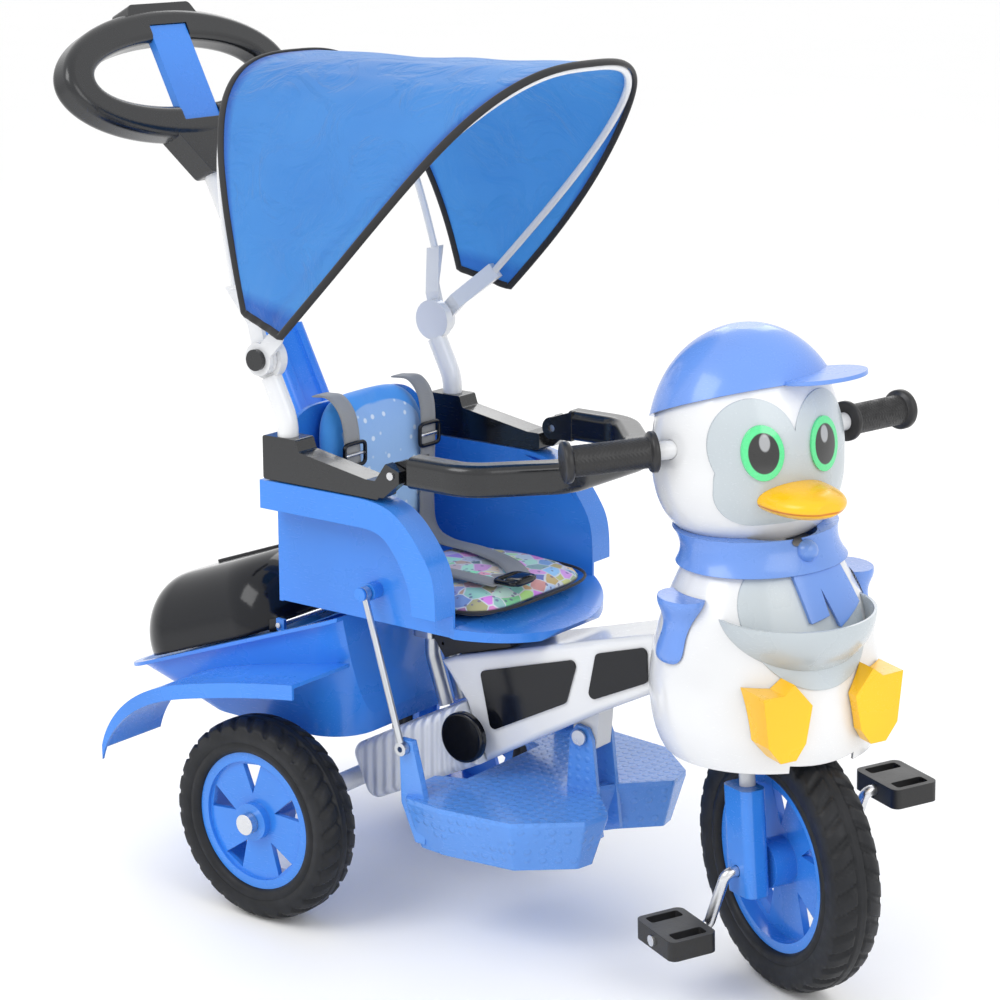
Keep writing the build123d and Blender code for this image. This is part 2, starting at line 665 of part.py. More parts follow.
def make_bow(name, angle, half, reach, layer):
    """Wire hoop with a flat arm and an eye at each hub."""
    plane = fan_plane(angle)
    with BuildPart() as bow:
        points = [hoop_point(share, half, reach) for share in hoop_shares(reach, 74)]
        with BuildLine(plane) as hoop:
            Spline(*points)
        start = hoop.wires()[0] @ 0
        heading = hoop.wires()[0] % 0
        with BuildSketch(Plane(origin=start, z_dir=heading)):
            Circle(BOW_RADIUS)
        sweep()
        for sign in (-1, 1):
            low, high = sorted((sign * layer[0], sign * layer[1]))
            bar_across((HUB_X, (low + high) / 2, HUB_Z), 17, high - low)
            low_bend, high_bend = (INNER_BEND, OUTER_BEND) if sign > 0 else (OUTER_BEND, INNER_BEND)
            with BuildSketch(plane.offset(-ARM_WIDTH / 2)):
                ends = sorted((sign * (half - BOW_RADIUS), sign * (half + BOW_RADIUS)))
                Polygon(
                    (low, 8),
                    (low, low_bend),
                    (ends[0], ARM_END),
                    (ends[1], ARM_END),
                    (high, high_bend),
                    (high, 8),
                    align=None,
                )
            extrude(amount=ARM_WIDTH)
            bar_across((HUB_X, (low + high) / 2, HUB_Z), HUB_PIN_RADIUS + RUNNING_GAP, 8, mode=Mode.SUBTRACT)
    publish(bow, name)


def make_gore(name, rear, front, half):
    """Strip of the canopy's cover. rear and front are each an angle about the hubs and a reach."""
    faces_to_join = []
    for angle, reach in (rear, front):
        shares = hoop_shares(reach, HEM_RADIUS)
        outer = [hoop_point(share, half + FABRIC, reach + FABRIC) for share in shares]
        inner = [hoop_point(share, half, reach) for share in shares]
        with BuildSketch(fan_plane(angle)) as strip:
            with BuildLine():
                Spline(*outer)
                Line(outer[-1], inner[-1])
                Spline(*reversed(inner))
                Line(inner[0], outer[0])
            make_face()
        faces_to_join.append(strip.sketch)
    with BuildPart() as gore:
        loft(faces_to_join, ruled=True)
    publish(gore, name)


HEM_GAP = 3.2
FIRST_EDGE = REAR_BOW_ANGLE - HEM_GAP
LAST_EDGE = FRONT_BOW_ANGLE + HEM_GAP
GORE = (FIRST_EDGE - LAST_EDGE) / 3
make_bow("rear_bow", REAR_BOW_ANGLE, 163, REAR_BOW_REACH, HUB_REAR)
make_bow("front_bow", FRONT_BOW_ANGLE, 175, FRONT_BOW_REACH, HUB_FRONT)
make_gore("canopy_rear", (FIRST_EDGE, 300), (FIRST_EDGE - GORE, 302), 166.5)
make_gore("canopy_middle", (FIRST_EDGE - GORE, 304.5), (LAST_EDGE + GORE, 322), 169)
make_gore("canopy_front", (LAST_EDGE + GORE, 324.5), (LAST_EDGE, 398), 171.5)

# ---------------------------------------------------------------- footrest
TRAY_TOP = 150.0
TRAY_FLOOR = 100.0
TRAY_CORNER = 5.0
TRAY_RIGHT = (
    (178, 0),
    (178, 64),
    (146, 76),
    (146, 114),
    (162, 146),
    (206, 150),
    (290, 140),
    (346, 92),
    (352, 60),
    (312, 18),
    (300, 0),
)


def tray_outline(inset):
    """Both lobes of the tray, seen from above, drawn in by the given inset."""
    points = list(TRAY_RIGHT) + [(x, -y) for x, y in reversed(TRAY_RIGHT[1:-1])]
    Polygon(*points, align=None)
    offset(amount=-inset, kind=Kind.INTERSECTION)
    fillet(vertices(), radius=TRAY_CORNER)


with BuildPart() as footrest_tray:
    with BuildSketch(Plane.XY.offset(TRAY_FLOOR)) as tray_low:
        tray_outline(14)
    with BuildSketch(Plane.XY.offset(TRAY_TOP)) as tray_high:
        tray_outline(0)
    loft([tray_low.sketch, tray_high.sketch], ruled=True)
    with BuildSketch(Plane.XY.offset(TRAY_FLOOR + WALL)) as hollow_low:
        tray_outline(14 + WALL)
    with BuildSketch(Plane.XY.offset(TRAY_TOP + 0.1)) as hollow_high:
        tray_outline(WALL)
    loft([hollow_low.sketch, hollow_high.sketch], ruled=True, mode=Mode.SUBTRACT)
    for sign in (-1, 1):
        with BuildSketch(across((0, sign * 17, 0), 5)):
            Polygon((-276, 212), (-284, 224), (-298, 222), (-304, 210), (-316, 108), (-270, 101), align=None)
        extrude(amount=5)
        with BuildSketch(across((0, sign * (ROD_PLANE - 8), 0), 8)):
            Polygon((-148, 213), (-164, 213), (-182, 146), (-180, 106), (-168, 106), (-150, 146), align=None)
        extrude(amount=8)
    bar_across(FOOTREST_PIN, FOOTREST_PIN_RADIUS + RUNNING_GAP, 60, mode=Mode.SUBTRACT)
publish(footrest_tray, "footrest_tray")

for side, sign in (("right", -1), ("left", 1)):
    plane_y = sign * (ROD_PLANE + 0.5)
    top = (ROD_TOP[0], plane_y, ROD_TOP[2])
    foot = (ROD_FOOT[0], plane_y, ROD_FOOT[2])
    with BuildPart() as footrest_rod:
        with BuildLine() as rod_line:
            Line(top, foot)
        with BuildSketch(Plane(origin=top, z_dir=rod_line.line % 0)):
            Circle(ROD_RADIUS)
        sweep(path=rod_line.line)
        bar_across(top, ROD_EYE, 2 * ROD_RADIUS)
        bar_across(foot, ROD_EYE, 2 * ROD_RADIUS)
        bar_across(top, ROD_PEG_RADIUS + RUNNING_GAP, 20, mode=Mode.SUBTRACT)
        bar_across(foot, 3, 20, mode=Mode.SUBTRACT)
    publish(footrest_rod, f"footrest_rod_{side}")

# ---------------------------------------------------------------- fork, crank and pedals
CROWN_LOW = 142.0
CROWN_HIGH = 156.0
LEG_EYE = 15.0
HANDLEBAR_Z = 547.0
STEM_TOP = (HANDLEBAR_Z - FRONT_RADIUS) / cos(rake)
BAR_RADIUS = 9.0
BAR_SWEEP = 15.4
BAR_HALF = 193.0
BAR_DROP = 2.4
with BuildPart() as fork:
    for sign in (-1, 1):
        with BuildSketch(STEER.offset(9)):
            with Locations((0, sign * FORK_LEG_Y)):
                Circle(FORK_LEG_RADIUS)
        extrude(amount=CROWN_LOW - 6)
        bar_across((FRONT_AXLE_X, sign * FORK_LEG_Y, FRONT_RADIUS), LEG_EYE, 12)
    with BuildSketch(STEER.offset(CROWN_LOW)):
        RectangleRounded(34, 2 * FORK_LEG_Y + 2 * FORK_LEG_RADIUS, 8)
    extrude(amount=CROWN_HIGH - CROWN_LOW)
    with BuildSketch(STEER.offset(CROWN_HIGH - 2)):
        Circle(STEM_RADIUS)
    extrude(amount=STEM_TOP - CROWN_HIGH - 12)
    bar_across(FRONT_CENTRE, CRANK_RADIUS + RUNNING_GAP, 120, mode=Mode.SUBTRACT)
publish(fork, "fork", steered=True)

COVER_LOW = -24.0
COVER_HIGH = 84.0
with BuildPart() as fork_covers:
    for sign in (-1, 1):
        with BuildSketch(STEER.offset(COVER_LOW)) as cover_section:
            with Locations((0, sign * (FORK_LEG_Y + 4))):
                RectangleRounded(44, 26, 9)
        extrude(cover_section.sketch, amount=COVER_HIGH - COVER_LOW)
        with BuildSketch(STEER.offset(9)) as leg_section:
            with Locations((0, sign * FORK_LEG_Y)):
                Circle(FORK_LEG_RADIUS)
        extrude(leg_section.sketch, amount=COVER_HIGH, mode=Mode.SUBTRACT)
        leg_end = (FRONT_AXLE_X, sign * FORK_LEG_Y, FRONT_RADIUS)
        bar_across(leg_end, LEG_EYE, 12, mode=Mode.SUBTRACT)
        bar_across(leg_end, CRANK_RADIUS + PANEL_GAP, 60, mode=Mode.SUBTRACT)
publish(fork_covers, "fork_covers", steered=True)

turn = radians(CRANK_ANGLE)
reach_x = CRANK_LENGTH * cos(turn)
reach_z = CRANK_LENGTH * sin(turn)
PEDAL_RIGHT = (FRONT_AXLE_X + reach_x, -PEDAL_PLANE, FRONT_RADIUS + reach_z)
PEDAL_LEFT = (FRONT_AXLE_X - reach_x, PEDAL_PLANE, FRONT_RADIUS - reach_z)
PEDAL_END = PEDAL_PLANE + PEDAL_WIDTH / 2 + 3
SHAFT_HALF = 70.0
with BuildPart() as crank:
    tube_along(
        [
            (PEDAL_RIGHT[0], -PEDAL_END, PEDAL_RIGHT[2]),
            (PEDAL_RIGHT[0], -SHAFT_HALF - 12, PEDAL_RIGHT[2]),
            (FRONT_AXLE_X, -SHAFT_HALF, FRONT_RADIUS),
            (FRONT_AXLE_X, SHAFT_HALF, FRONT_RADIUS),
            (PEDAL_LEFT[0], SHAFT_HALF + 12, PEDAL_LEFT[2]),
            (PEDAL_LEFT[0], PEDAL_END, PEDAL_LEFT[2]),
        ],
        CRANK_RADIUS,
        9,
    )
publish(crank, "crank", steered=True)

for side, centre in (("right", PEDAL_RIGHT), ("left", PEDAL_LEFT)):
    with BuildPart() as pedal:
        with BuildSketch(Plane(origin=centre, x_dir=(1, 0, 0), z_dir=(0, 0, 1)).offset(-PEDAL_HEIGHT / 2)):
            RectangleRounded(PEDAL_LENGTH, PEDAL_WIDTH, 8)
            with Locations((-22, 0), (22, 0)):
                RectangleRounded(14, PEDAL_WIDTH - 16, 3, mode=Mode.SUBTRACT)
        extrude(amount=PEDAL_HEIGHT)
        bar_across(centre, CRANK_RADIUS + RUNNING_GAP, 2 * PEDAL_WIDTH, mode=Mode.SUBTRACT)
    publish(pedal, f"pedal_{side}", steered=True)

# ---------------------------------------------------------------- handlebar
BAR_CENTRE = STEER.origin + STEER.z_dir * STEM_TOP
sweep_angle = radians(BAR_SWEEP)
drop_angle = radians(BAR_DROP)


def bar_plane(sign):
    """Plane at the stem facing along one half of the swept-back handlebar."""
    direction = (-sin(sweep_angle), sign * cos(sweep_angle), -sin(drop_angle))
    return Plane(origin=BAR_CENTRE, z_dir=direction)


def on_bar(sign, start, length, radius, mode=Mode.ADD):
    """Round length on one half of the handlebar."""
    with BuildSketch(bar_plane(sign).offset(start)) as section:
        Circle(radius)
    extrude(section.sketch, amount=length, mode=mode)


BAR_LENGTH = BAR_HALF / cos(sweep_angle)
GRIP_START = 110.0
with BuildPart() as handlebar:
    with BuildSketch(STEER.offset(STEM_TOP - 14)):
        Circle(STEM_RADIUS + 6)
    extrude(amount=28)
    for sign in (-1, 1):
        on_bar(sign, 0, BAR_LENGTH - 4, BAR_RADIUS)
publish(handlebar, "handlebar", steered=True)

with BuildPart() as grips:
    for sign in (-1, 1):
        on_bar(sign, GRIP_START, BAR_LENGTH - GRIP_START, 15)
        on_bar(sign, GRIP_START, 7, 20)
        on_bar(sign, BAR_LENGTH - 8, 8, 20)
        on_bar(sign, 0, BAR_LENGTH - 4, BAR_RADIUS, mode=Mode.SUBTRACT)
publish(grips, "grips", steered=True)

# ---------------------------------------------------------------- penguin


def egg(layers, inset=0.0, mode=Mode.ADD):
    """Rounded body through ellipses: (height, middle x, half depth, half width)."""
    slices = []
    for height, middle, depth, width in layers:
        with BuildSketch(Plane.XY.offset(height)) as layer:
            with Locations((middle, 0)):
                Ellipse(depth - inset, width - inset)
        slices.append(layer.sketch)
    loft(slices, mode=mode)


BODY_LAYERS = (
    (246, 489, 98, 104),
    (280, 488, 103, 116),
    (325, 486, 103, 116),
    (375, 482, 90, 103),
    (420, 478, 70, 82),
    (447, 474, 58, 66),
)
HEAD_LAYERS = (
    (452, 458, 52, 60),
    (466, 456, 70, 80),
    (500, 454, 82, 94),
    (545, 453, 84, 94),
    (590, 452, 73, 83),
    (622, 452, 52, 61),
    (636, 452, 31, 36),
)
HEAD_AXIS_X = 503.0


def drop_foot(layers, amount):
    """The same layers with the lowest one moved down."""
    height, middle, depth, width = layers[0]
    return ((height - amount, middle, depth, width),) + tuple(layers[1:])


with BuildPart() as penguin_body:
    egg(BODY_LAYERS)
    egg(drop_foot(BODY_LAYERS[:-1], 1) + ((444, 474, 58, 66),), WALL, mode=Mode.SUBTRACT)
    with BuildSketch(Plane.XY.offset(262)):
        Polygon((HEAD_AXIS_X, 0), (340, 215), (340, -215), align=None)
    extrude(amount=116, mode=Mode.SUBTRACT)
    bar_across(FRONT_CENTRE, FRONT_RADIUS + 7, 72, mode=Mode.SUBTRACT)
    with BuildSketch(STEER.offset(150)):
        Circle(STEM_RADIUS + 0.5)
    extrude(amount=400, mode=Mode.SUBTRACT)
publish(penguin_body, "penguin_body", steered=True)

with BuildPart() as penguin_head:
    egg(HEAD_LAYERS)
    egg(
        ((HEAD_LAYERS[0][0] + WALL, 458, 54, 62),) + HEAD_LAYERS[1:-1] + ((632, 452, 31, 36),),
        WALL,
        mode=Mode.SUBTRACT,
    )
    with BuildSketch(STEER.offset(150)):
        Circle(STEM_RADIUS + 0.5)
    extrude(amount=250, mode=Mode.SUBTRACT)
    for sign in (-1, 1):
        on_bar(sign, 30, 120, BAR_RADIUS + 0.5, mode=Mode.SUBTRACT)
publish(penguin_head, "penguin_head", steered=True)

MASK_SKIN = 1.4
with BuildPart() as face_mask:
    with BuildSketch(Plane.YZ.offset(475)):
        with Locations((-37, 548), (37, 548)):
            Ellipse(39, 47)
        with Locations((0, 514)):
            RectangleRounded(146, 78, 34)
    extrude(amount=90)
    egg(HEAD_LAYERS, -MASK_SKIN, mode=Mode.INTERSECT)
    egg(HEAD_LAYERS, mode=Mode.SUBTRACT)
publish(face_mask, "face_mask", steered=True)

EYE_SKIN = 4.0
with BuildPart() as eyes:
    with BuildSketch(Plane.YZ.offset(480)):
        with Locations((-34, 546), (34, 546)):
            Ellipse(19, 26)
    extrude(amount=90)
    egg(HEAD_LAYERS, -EYE_SKIN, mode=Mode.INTERSECT)
    egg(HEAD_LAYERS, -MASK_SKIN, mode=Mode.SUBTRACT)
publish(eyes, "eyes", steered=True)

BEAK_LAYERS = ((520, 37, 17), (556, 38, 15), (578, 29, 12), (592, 12, 6))
with BuildPart() as beak:
    for distance, half_width, half_height in BEAK_LAYERS:
        with BuildSketch(Plane.YZ.offset(distance)):
            with Locations((0, 500)):
                Ellipse(half_width, half_height)
    loft()
    egg(HEAD_LAYERS, -MASK_SKIN, mode=Mode.SUBTRACT)
publish(beak, "beak", steered=True)

CAP_LAYERS = (
    (535, 453, 89, 99),
    (560, 452, 87, 96.5),
    (590, 452, 78, 88),
    (622, 451, 58, 67),
    (640, 451, 37, 43),
    (649, 451, 16, 19),
)
VISOR_TURN = 30.0
VISOR_REACH = 80.0
VISOR_Z = 606.0
visor_turn = radians(VISOR_TURN)
VISOR_MIDDLE = (450 + VISOR_REACH * cos(visor_turn), VISOR_REACH * sin(visor_turn), VISOR_Z)
with BuildPart() as cap:
    egg(CAP_LAYERS)
    with BuildSketch(Plane.XZ.offset(-140)):
        Polygon((300, 480), (620, 480), (620, 640), (300, 524), align=None)
    extrude(amount=280, mode=Mode.SUBTRACT)
    with BuildSketch(Plane(origin=VISOR_MIDDLE, z_dir=(-0.12, -0.06, 1))):
        Ellipse(46, 42)
    extrude(amount=4)
    egg(HEAD_LAYERS, -1, mode=Mode.SUBTRACT)
publish(cap, "cap", steered=True)

BELLY_SKIN = 1.6
SCARF_LAYERS = ((428, 478, 74, 86), (440, 475, 69, 80), (460, 467, 72, 83))
SCARF_KNOT = (540, 10, 447)
TAIL_SKIN = 7.0
with BuildPart() as scarf_tails:
    with BuildSketch(Plane.YZ.offset(500)):
        Polygon((4, 445), (44, 445), (62, 392), (26, 378), align=None)
        Polygon((-14, 445), (12, 445), (16, 390), (-6, 386), align=None)
    extrude(amount=100)
    egg(BODY_LAYERS, -TAIL_SKIN, mode=Mode.INTERSECT)

with BuildPart() as scarf:
    egg(SCARF_LAYERS)
    add(scarf_tails.part)
    with Locations(SCARF_KNOT):
        Sphere(11)
    egg(BODY_LAYERS, -BELLY_SKIN - 0.2, mode=Mode.SUBTRACT)
    egg(HEAD_LAYERS, -0.2, mode=Mode.SUBTRACT)
    with BuildSketch(STEER.offset(300)):
        Circle(STEM_RADIUS + 30)
    extrude(amount=120, mode=Mode.SUBTRACT)
publish(scarf, "scarf", steered=True)

BOWL_RADIUS = 80.0
BOWL_RIM = 391.0
BOWL_X = 531.0
BOWL_DEPTH = 64.0
with BuildPart() as belly_pouch:
    with BuildSketch(Plane.YZ.offset(490)):
        with Locations((0, 388)):
            Ellipse(66, 62)
    extrude(amount=120)
    egg(BODY_LAYERS, -BELLY_SKIN, mode=Mode.INTERSECT)
    with BuildSketch(Plane.XZ):
        with Locations((BOWL_X, BOWL_RIM)):
            Ellipse(BOWL_RADIUS, BOWL_DEPTH)
            Ellipse(BOWL_RADIUS - WALL, BOWL_DEPTH - WALL, mode=Mode.SUBTRACT)
            with Locations((BOWL_RADIUS / 2, -BOWL_DEPTH / 2)):
                Rectangle(BOWL_RADIUS, BOWL_DEPTH, mode=Mode.INTERSECT)
    revolve(axis=Axis((BOWL_X, 0, 0), (0, 0, 1)))
    egg(BODY_LAYERS, mode=Mode.SUBTRACT)
publish(belly_pouch, "belly_pouch", steered=True)

MITTEN_LAYERS = ((343, 15, 12), (360, 22, 17), (392, 24, 17), (402, 28, 21), (406, 28, 21))
MITTEN_LEAN = 0.12
with BuildPart() as mittens:
    for sign in (-1, 1):
        slices = []
        for height, depth, width in MITTEN_LAYERS:
            with BuildSketch(Plane.XY.offset(height)) as mitten_slice:
                with Locations((487, sign * (103 - (height - MITTEN_LAYERS[0][0]) * MITTEN_LEAN))):
                    Ellipse(depth, width)
            slices.append(mitten_slice.sketch)
        loft(slices)
    egg(BODY_LAYERS, -BELLY_SKIN - 0.2, mode=Mode.SUBTRACT)
publish(mittens, "mittens", steered=True)

FOOT_OUTLINE = ((-26, 14), (-6, 38), (5, 29), (28, 30), (22, -20), (9, -37), (-8, -37), (-19, -22))
with BuildPart() as feet:
    for sign in (-1, 1):
        with BuildSketch(Plane.YZ.offset(558)):
            with Locations((sign * 50, 304)):
                Polygon(*[(sign * y, z) for y, z in FOOT_OUTLINE], align=None)
        extrude(amount=44)
    egg(BODY_LAYERS, -BELLY_SKIN - 0.2, mode=Mode.SUBTRACT)
publish(feet, "feet", steered=True)
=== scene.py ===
import bpy
import json
import math
from mathutils import Matrix, Vector, noise


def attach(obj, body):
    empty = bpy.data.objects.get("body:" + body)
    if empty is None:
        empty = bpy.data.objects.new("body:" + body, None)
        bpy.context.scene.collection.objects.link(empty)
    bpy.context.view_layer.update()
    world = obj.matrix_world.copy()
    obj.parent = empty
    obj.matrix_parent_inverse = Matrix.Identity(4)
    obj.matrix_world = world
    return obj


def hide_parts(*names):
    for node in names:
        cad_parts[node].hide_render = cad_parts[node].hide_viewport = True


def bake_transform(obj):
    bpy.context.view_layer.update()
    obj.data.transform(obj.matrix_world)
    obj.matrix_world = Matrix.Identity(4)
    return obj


# Children's tricycle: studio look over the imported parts. Lengths in the helpers below are
# millimetres from the middle of the rear axle over the ground, as in the parts' source.

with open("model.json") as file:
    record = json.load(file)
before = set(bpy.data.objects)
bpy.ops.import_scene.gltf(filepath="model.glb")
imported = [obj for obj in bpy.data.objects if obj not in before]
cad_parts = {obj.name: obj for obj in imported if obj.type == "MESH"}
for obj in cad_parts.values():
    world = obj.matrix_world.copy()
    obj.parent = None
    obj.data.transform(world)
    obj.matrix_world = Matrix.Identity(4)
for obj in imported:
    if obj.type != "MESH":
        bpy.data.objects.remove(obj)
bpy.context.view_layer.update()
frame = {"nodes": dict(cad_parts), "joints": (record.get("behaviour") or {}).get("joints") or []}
JOINTS = {j["name"]: j for j in frame["joints"]}
HUB = (-20.0, 0.0, 586.0)
ORIGIN_X = JOINTS["canopy_tilt"]["pos_m"][0] - HUB[0] / 1000
RAKE = math.radians(4.6)
REST_TURN = math.radians(-26.0)
FRONT_CENTRE = (523.0, 0.0, 130.0)
REAR_RADIUS = 108.0
FRONT_RADIUS = 130.0


def at(x, y, z):
    """Millimetres from the rear axle to metres in the row's frame."""
    return Vector((x / 1000 + ORIGIN_X, y / 1000, z / 1000))


STEER_AXIS = Vector((-math.sin(RAKE), 0, math.cos(RAKE)))
TURN = Matrix.Rotation(REST_TURN, 3, STEER_AXIS)
STEER_POINT = at(*FRONT_CENTRE)


def steered(x, y, z):
    """A point given with the steering straight, where the turned steering carries it."""
    return STEER_POINT + TURN @ (at(x, y, z) - STEER_POINT)


# ------------------------------------------------------------------ camera
camera_data = bpy.data.cameras.new("camera")
camera_data.lens = 92.72
camera_data.sensor_width = 36.0
camera = bpy.data.objects.new("camera", camera_data)
bpy.context.collection.objects.link(camera)
camera.location = at(1711.9, -2050.5, 1087.0)
AZIMUTH, ELEVATION = math.radians(36.9), math.radians(14.2)
sight = Vector((
    -math.sin(AZIMUTH) * math.cos(ELEVATION),
    math.cos(AZIMUTH) * math.cos(ELEVATION),
    -math.sin(ELEVATION),
))
camera.rotation_mode = "QUATERNION"
camera.rotation_quaternion = sight.to_track_quat("-Z", "Y")
camera_data.clip_start = 0.05
camera_data.clip_end = 100
bpy.context.scene.camera = camera
bpy.context.scene.view_settings.view_transform = "Standard"


# ------------------------------------------------------------------ shader helpers
class Shader:
    """A material being wired, with short ways to add its nodes."""

    def __init__(self, name):
        self.material = bpy.data.materials.new(name)
        self.material.use_nodes = True
        self.tree = self.material.node_tree
        self.main = self.tree.nodes["Principled BSDF"]
        self.where = self.node("ShaderNodeTexCoord").outputs["Object"]

    def node(self, kind, **settings):
        made = self.tree.nodes.new(kind)
        for key, value in settings.items():
            setattr(made, key, value)
        return made

    def wire(self, source, target):
        if hasattr(source, "is_output"):
            self.tree.links.new(source, target)
        else:
            target.default_value = source

    def noise(self, scale, detail=3.0, where=None, distortion=0.0):
        made = self.node("ShaderNodeTexNoise")
        self.wire(where or self.where, made.inputs["Vector"])
        made.inputs["Scale"].default_value = scale
        made.inputs["Detail"].default_value = detail
        made.inputs["Distortion"].default_value = distortion
        return made.outputs["Fac"]

    def cells(self, scale, where=None, feature="F1", output="Distance", randomness=1.0):
        made = self.node("ShaderNodeTexVoronoi", feature=feature)
        self.wire(where or self.where, made.inputs["Vector"])
        made.inputs["Scale"].default_value = scale
        made.inputs["Randomness"].default_value = randomness
        return made.outputs[output]

    def span(self, value, low, high, new_low=0.0, new_high=1.0):
        made = self.node("ShaderNodeMapRange")
        self.wire(value, made.inputs["Value"])
        limits = {"From Min": low, "From Max": high, "To Min": new_low, "To Max": new_high}
        for socket, number in limits.items():
            made.inputs[socket].default_value = number
        return made.outputs["Result"]

    def math(self, operation, first, second=0.0):
        made = self.node("ShaderNodeMath", operation=operation)
        self.wire(first, made.inputs[0])
        self.wire(second, made.inputs[1])
        return made.outputs[0]

    def mix(self, share, first, second):
        made = self.node("ShaderNodeMix", data_type="RGBA")
        self.wire(share, made.inputs[0])
        self.wire(first if hasattr(first, "is_output") else (*first[:3], 1.0), made.inputs[6])
        self.wire(second if hasattr(second, "is_output") else (*second[:3], 1.0), made.inputs[7])
        return made.outputs[2]

    def dot(self, direction, point=None):
        """Distance of the shaded spot from a point, along a direction, in metres."""
        moved = self.node("ShaderNodeVectorMath", operation="SUBTRACT")
        self.wire(self.where, moved.inputs[0])
        moved.inputs[1].default_value = tuple(point or (0, 0, 0))
        product = self.node("ShaderNodeVectorMath", operation="DOT_PRODUCT")
        self.wire(moved.outputs[0], product.inputs[0])
        product.inputs[1].default_value = tuple(direction)
        return product.outputs["Value"]

    def bump(self, height, strength, distance, under=None):
        made = self.node("ShaderNodeBump")
        self.wire(height, made.inputs["Height"])
        made.inputs["Strength"].default_value = strength
        made.inputs["Distance"].default_value = distance
        if under is not None:
            self.wire(under, made.inputs["Normal"])
        return made.outputs["Normal"]

    def soft_edges(self, radius=0.0009):
        made = self.node("ShaderNodeBevel", samples=4)
        made.inputs["Radius"].default_value = radius
        return made.outputs["Normal"]

    def set(self, **values):
        for key, value in values.items():
            self.wire(value, self.main.inputs[key.replace("_", " ")])


def plastic(name, colour, rough=0.25, coat=0.25, grain=0.0, edges=0.0009):
    """Moulded plastic: slight shade drift, handling haze, mould grain and paler worn edges."""
    s = Shader(name)
    darker = tuple(c * 0.86 for c in colour)
    paler = tuple(min(1.0, c * 1.12 + 0.05) for c in colour)
    drift = s.mix(s.span(s.noise(5.0), 0.35, 0.65), colour, darker)
    normal = s.soft_edges(edges)
    facing = s.node("ShaderNodeNewGeometry").outputs["Normal"]
    corner = s.node("ShaderNodeVectorMath", operation="DOT_PRODUCT")
    s.wire(normal, corner.inputs[0])
    s.wire(facing, corner.inputs[1])
    worn = s.math("MULTIPLY", s.span(corner.outputs["Value"], 0.995, 0.9), s.span(s.noise(60.0), 0.35, 0.7))
    base = s.mix(s.math("MULTIPLY", worn, 0.45), drift, paler)
    haze = s.span(s.noise(14.0, 5.0), 0.3, 0.7, rough - 0.05, rough + 0.07)
    scratched = s.node("ShaderNodeMapping")
    s.wire(s.where, scratched.inputs["Vector"])
    scratched.inputs["Scale"].default_value = (30.0, 260.0, 260.0)
    fine = s.span(s.noise(3.0, 2.0, scratched.outputs["Vector"]), 0.62, 0.7, 0.0, 0.08)
    rough_all = s.math("ADD", haze, fine)
    peel = s.bump(s.noise(420.0, 2.0), 0.05 + grain * 0.35, 0.0004, normal)
    s.set(Base_Color=base, Roughness=rough_all, Normal=peel, Coat_Weight=coat, Coat_Roughness=0.08)
    return s


def metal(name, colour, rough=0.22, metallic=1.0):
    """Plated or painted metal with faint brushing and smudges."""
    s = Shader(name)
    smudge = s.span(s.noise(30.0, 5.0), 0.35, 0.7, rough, rough + 0.14)
    tint = s.mix(s.span(s.noise(12.0), 0.3, 0.7), colour, tuple(c * 0.82 for c in colour))
    brushed = s.node("ShaderNodeMapping")
    s.wire(s.where, brushed.inputs["Vector"])
    brushed.inputs["Scale"].default_value = (900.0, 60.0, 900.0)
    lines = s.noise(1.0, 2.0, brushed.outputs["Vector"])
    s.set(Base_Color=tint, Roughness=smudge, Metallic=metallic)
    s.set(Normal=s.bump(lines, 0.08, 0.0002, s.soft_edges(0.0006)))
    return s


def cloth(name, colour, other, thread=0.0011, rough=0.8, sheen=0.3):
    """Woven cloth: two thread directions in the surface's own flat lengths."""
    s = Shader(name)
    flat = s.node("ShaderNodeTexCoord").outputs["UV"]
    waves = []
    for direction in ("X", "Y"):
        wave = s.node("ShaderNodeTexWave", wave_type="BANDS", bands_direction=direction)
        s.wire(flat, wave.inputs["Vector"])
        wave.inputs["Scale"].default_value = 0.314 / thread
        wave.inputs["Distortion"].default_value = 0.4
        waves.append(wave.outputs["Fac"])
    weave = s.math("MULTIPLY", waves[0], waves[1])
    s.weave = weave
    faded = s.mix(s.span(s.noise(7.0), 0.3, 0.7), colour, other)
    s.base = s.mix(s.span(weave, 0.0, 1.0, 0.0, 0.5), faded, other)
    s.set(Base_Color=s.base, Roughness=rough, Sheen_Weight=sheen, Sheen_Roughness=0.4)
    s.set(Normal=s.bump(weave, 0.25, 0.0004))
    return s


def turned_places(s):
    """Sideways and upward distance on the steering, as if it were straight."""
    sideways = s.dot(TURN @ Vector((0, 1, 0)), STEER_POINT)
    upward = s.math("ADD", s.dot(TURN @ Vector((0, 0, 1)), STEER_POINT), FRONT_CENTRE[2] / 1000)
    return sideways, upward


# ------------------------------------------------------------------ materials
BLUE = (0.034, 0.230, 0.780)
PERIWINKLE = (0.135, 0.285, 0.730)
WHITE = (0.76, 0.77, 0.785)
BLACK = (0.005, 0.006, 0.008)
GREY = (0.50, 0.555, 0.59)
blue = plastic("blue_moulding", BLUE, 0.26, 0.25).material
periwinkle = plastic("periwinkle_moulding", PERIWINKLE, 0.25, 0.35).material
white = plastic("white_moulding", WHITE, 0.2, 0.5).material
white_paint = plastic("white_paint", (0.72, 0.73, 0.745), 0.24, 0.4, 0.2, 0.0005).material
black = plastic("black_moulding", BLACK, 0.24, 0.3, 0.15).material
black_gloss = plastic("black_gloss", (0.004, 0.005, 0.008), 0.12, 0.12)
black_gloss.set(Specular_IOR_Level=0.3)
black_gloss = black_gloss.material
black_matt = plastic("black_matt", (0.012, 0.012, 0.013), 0.45, 0.0, 0.8).material
grey = plastic("grey_moulding", GREY, 0.25, 0.35).material
silver = metal("plated_steel", (0.72, 0.73, 0.75)).material
rod_metal = metal("zinc_rod", (0.62, 0.64, 0.67), 0.28).material

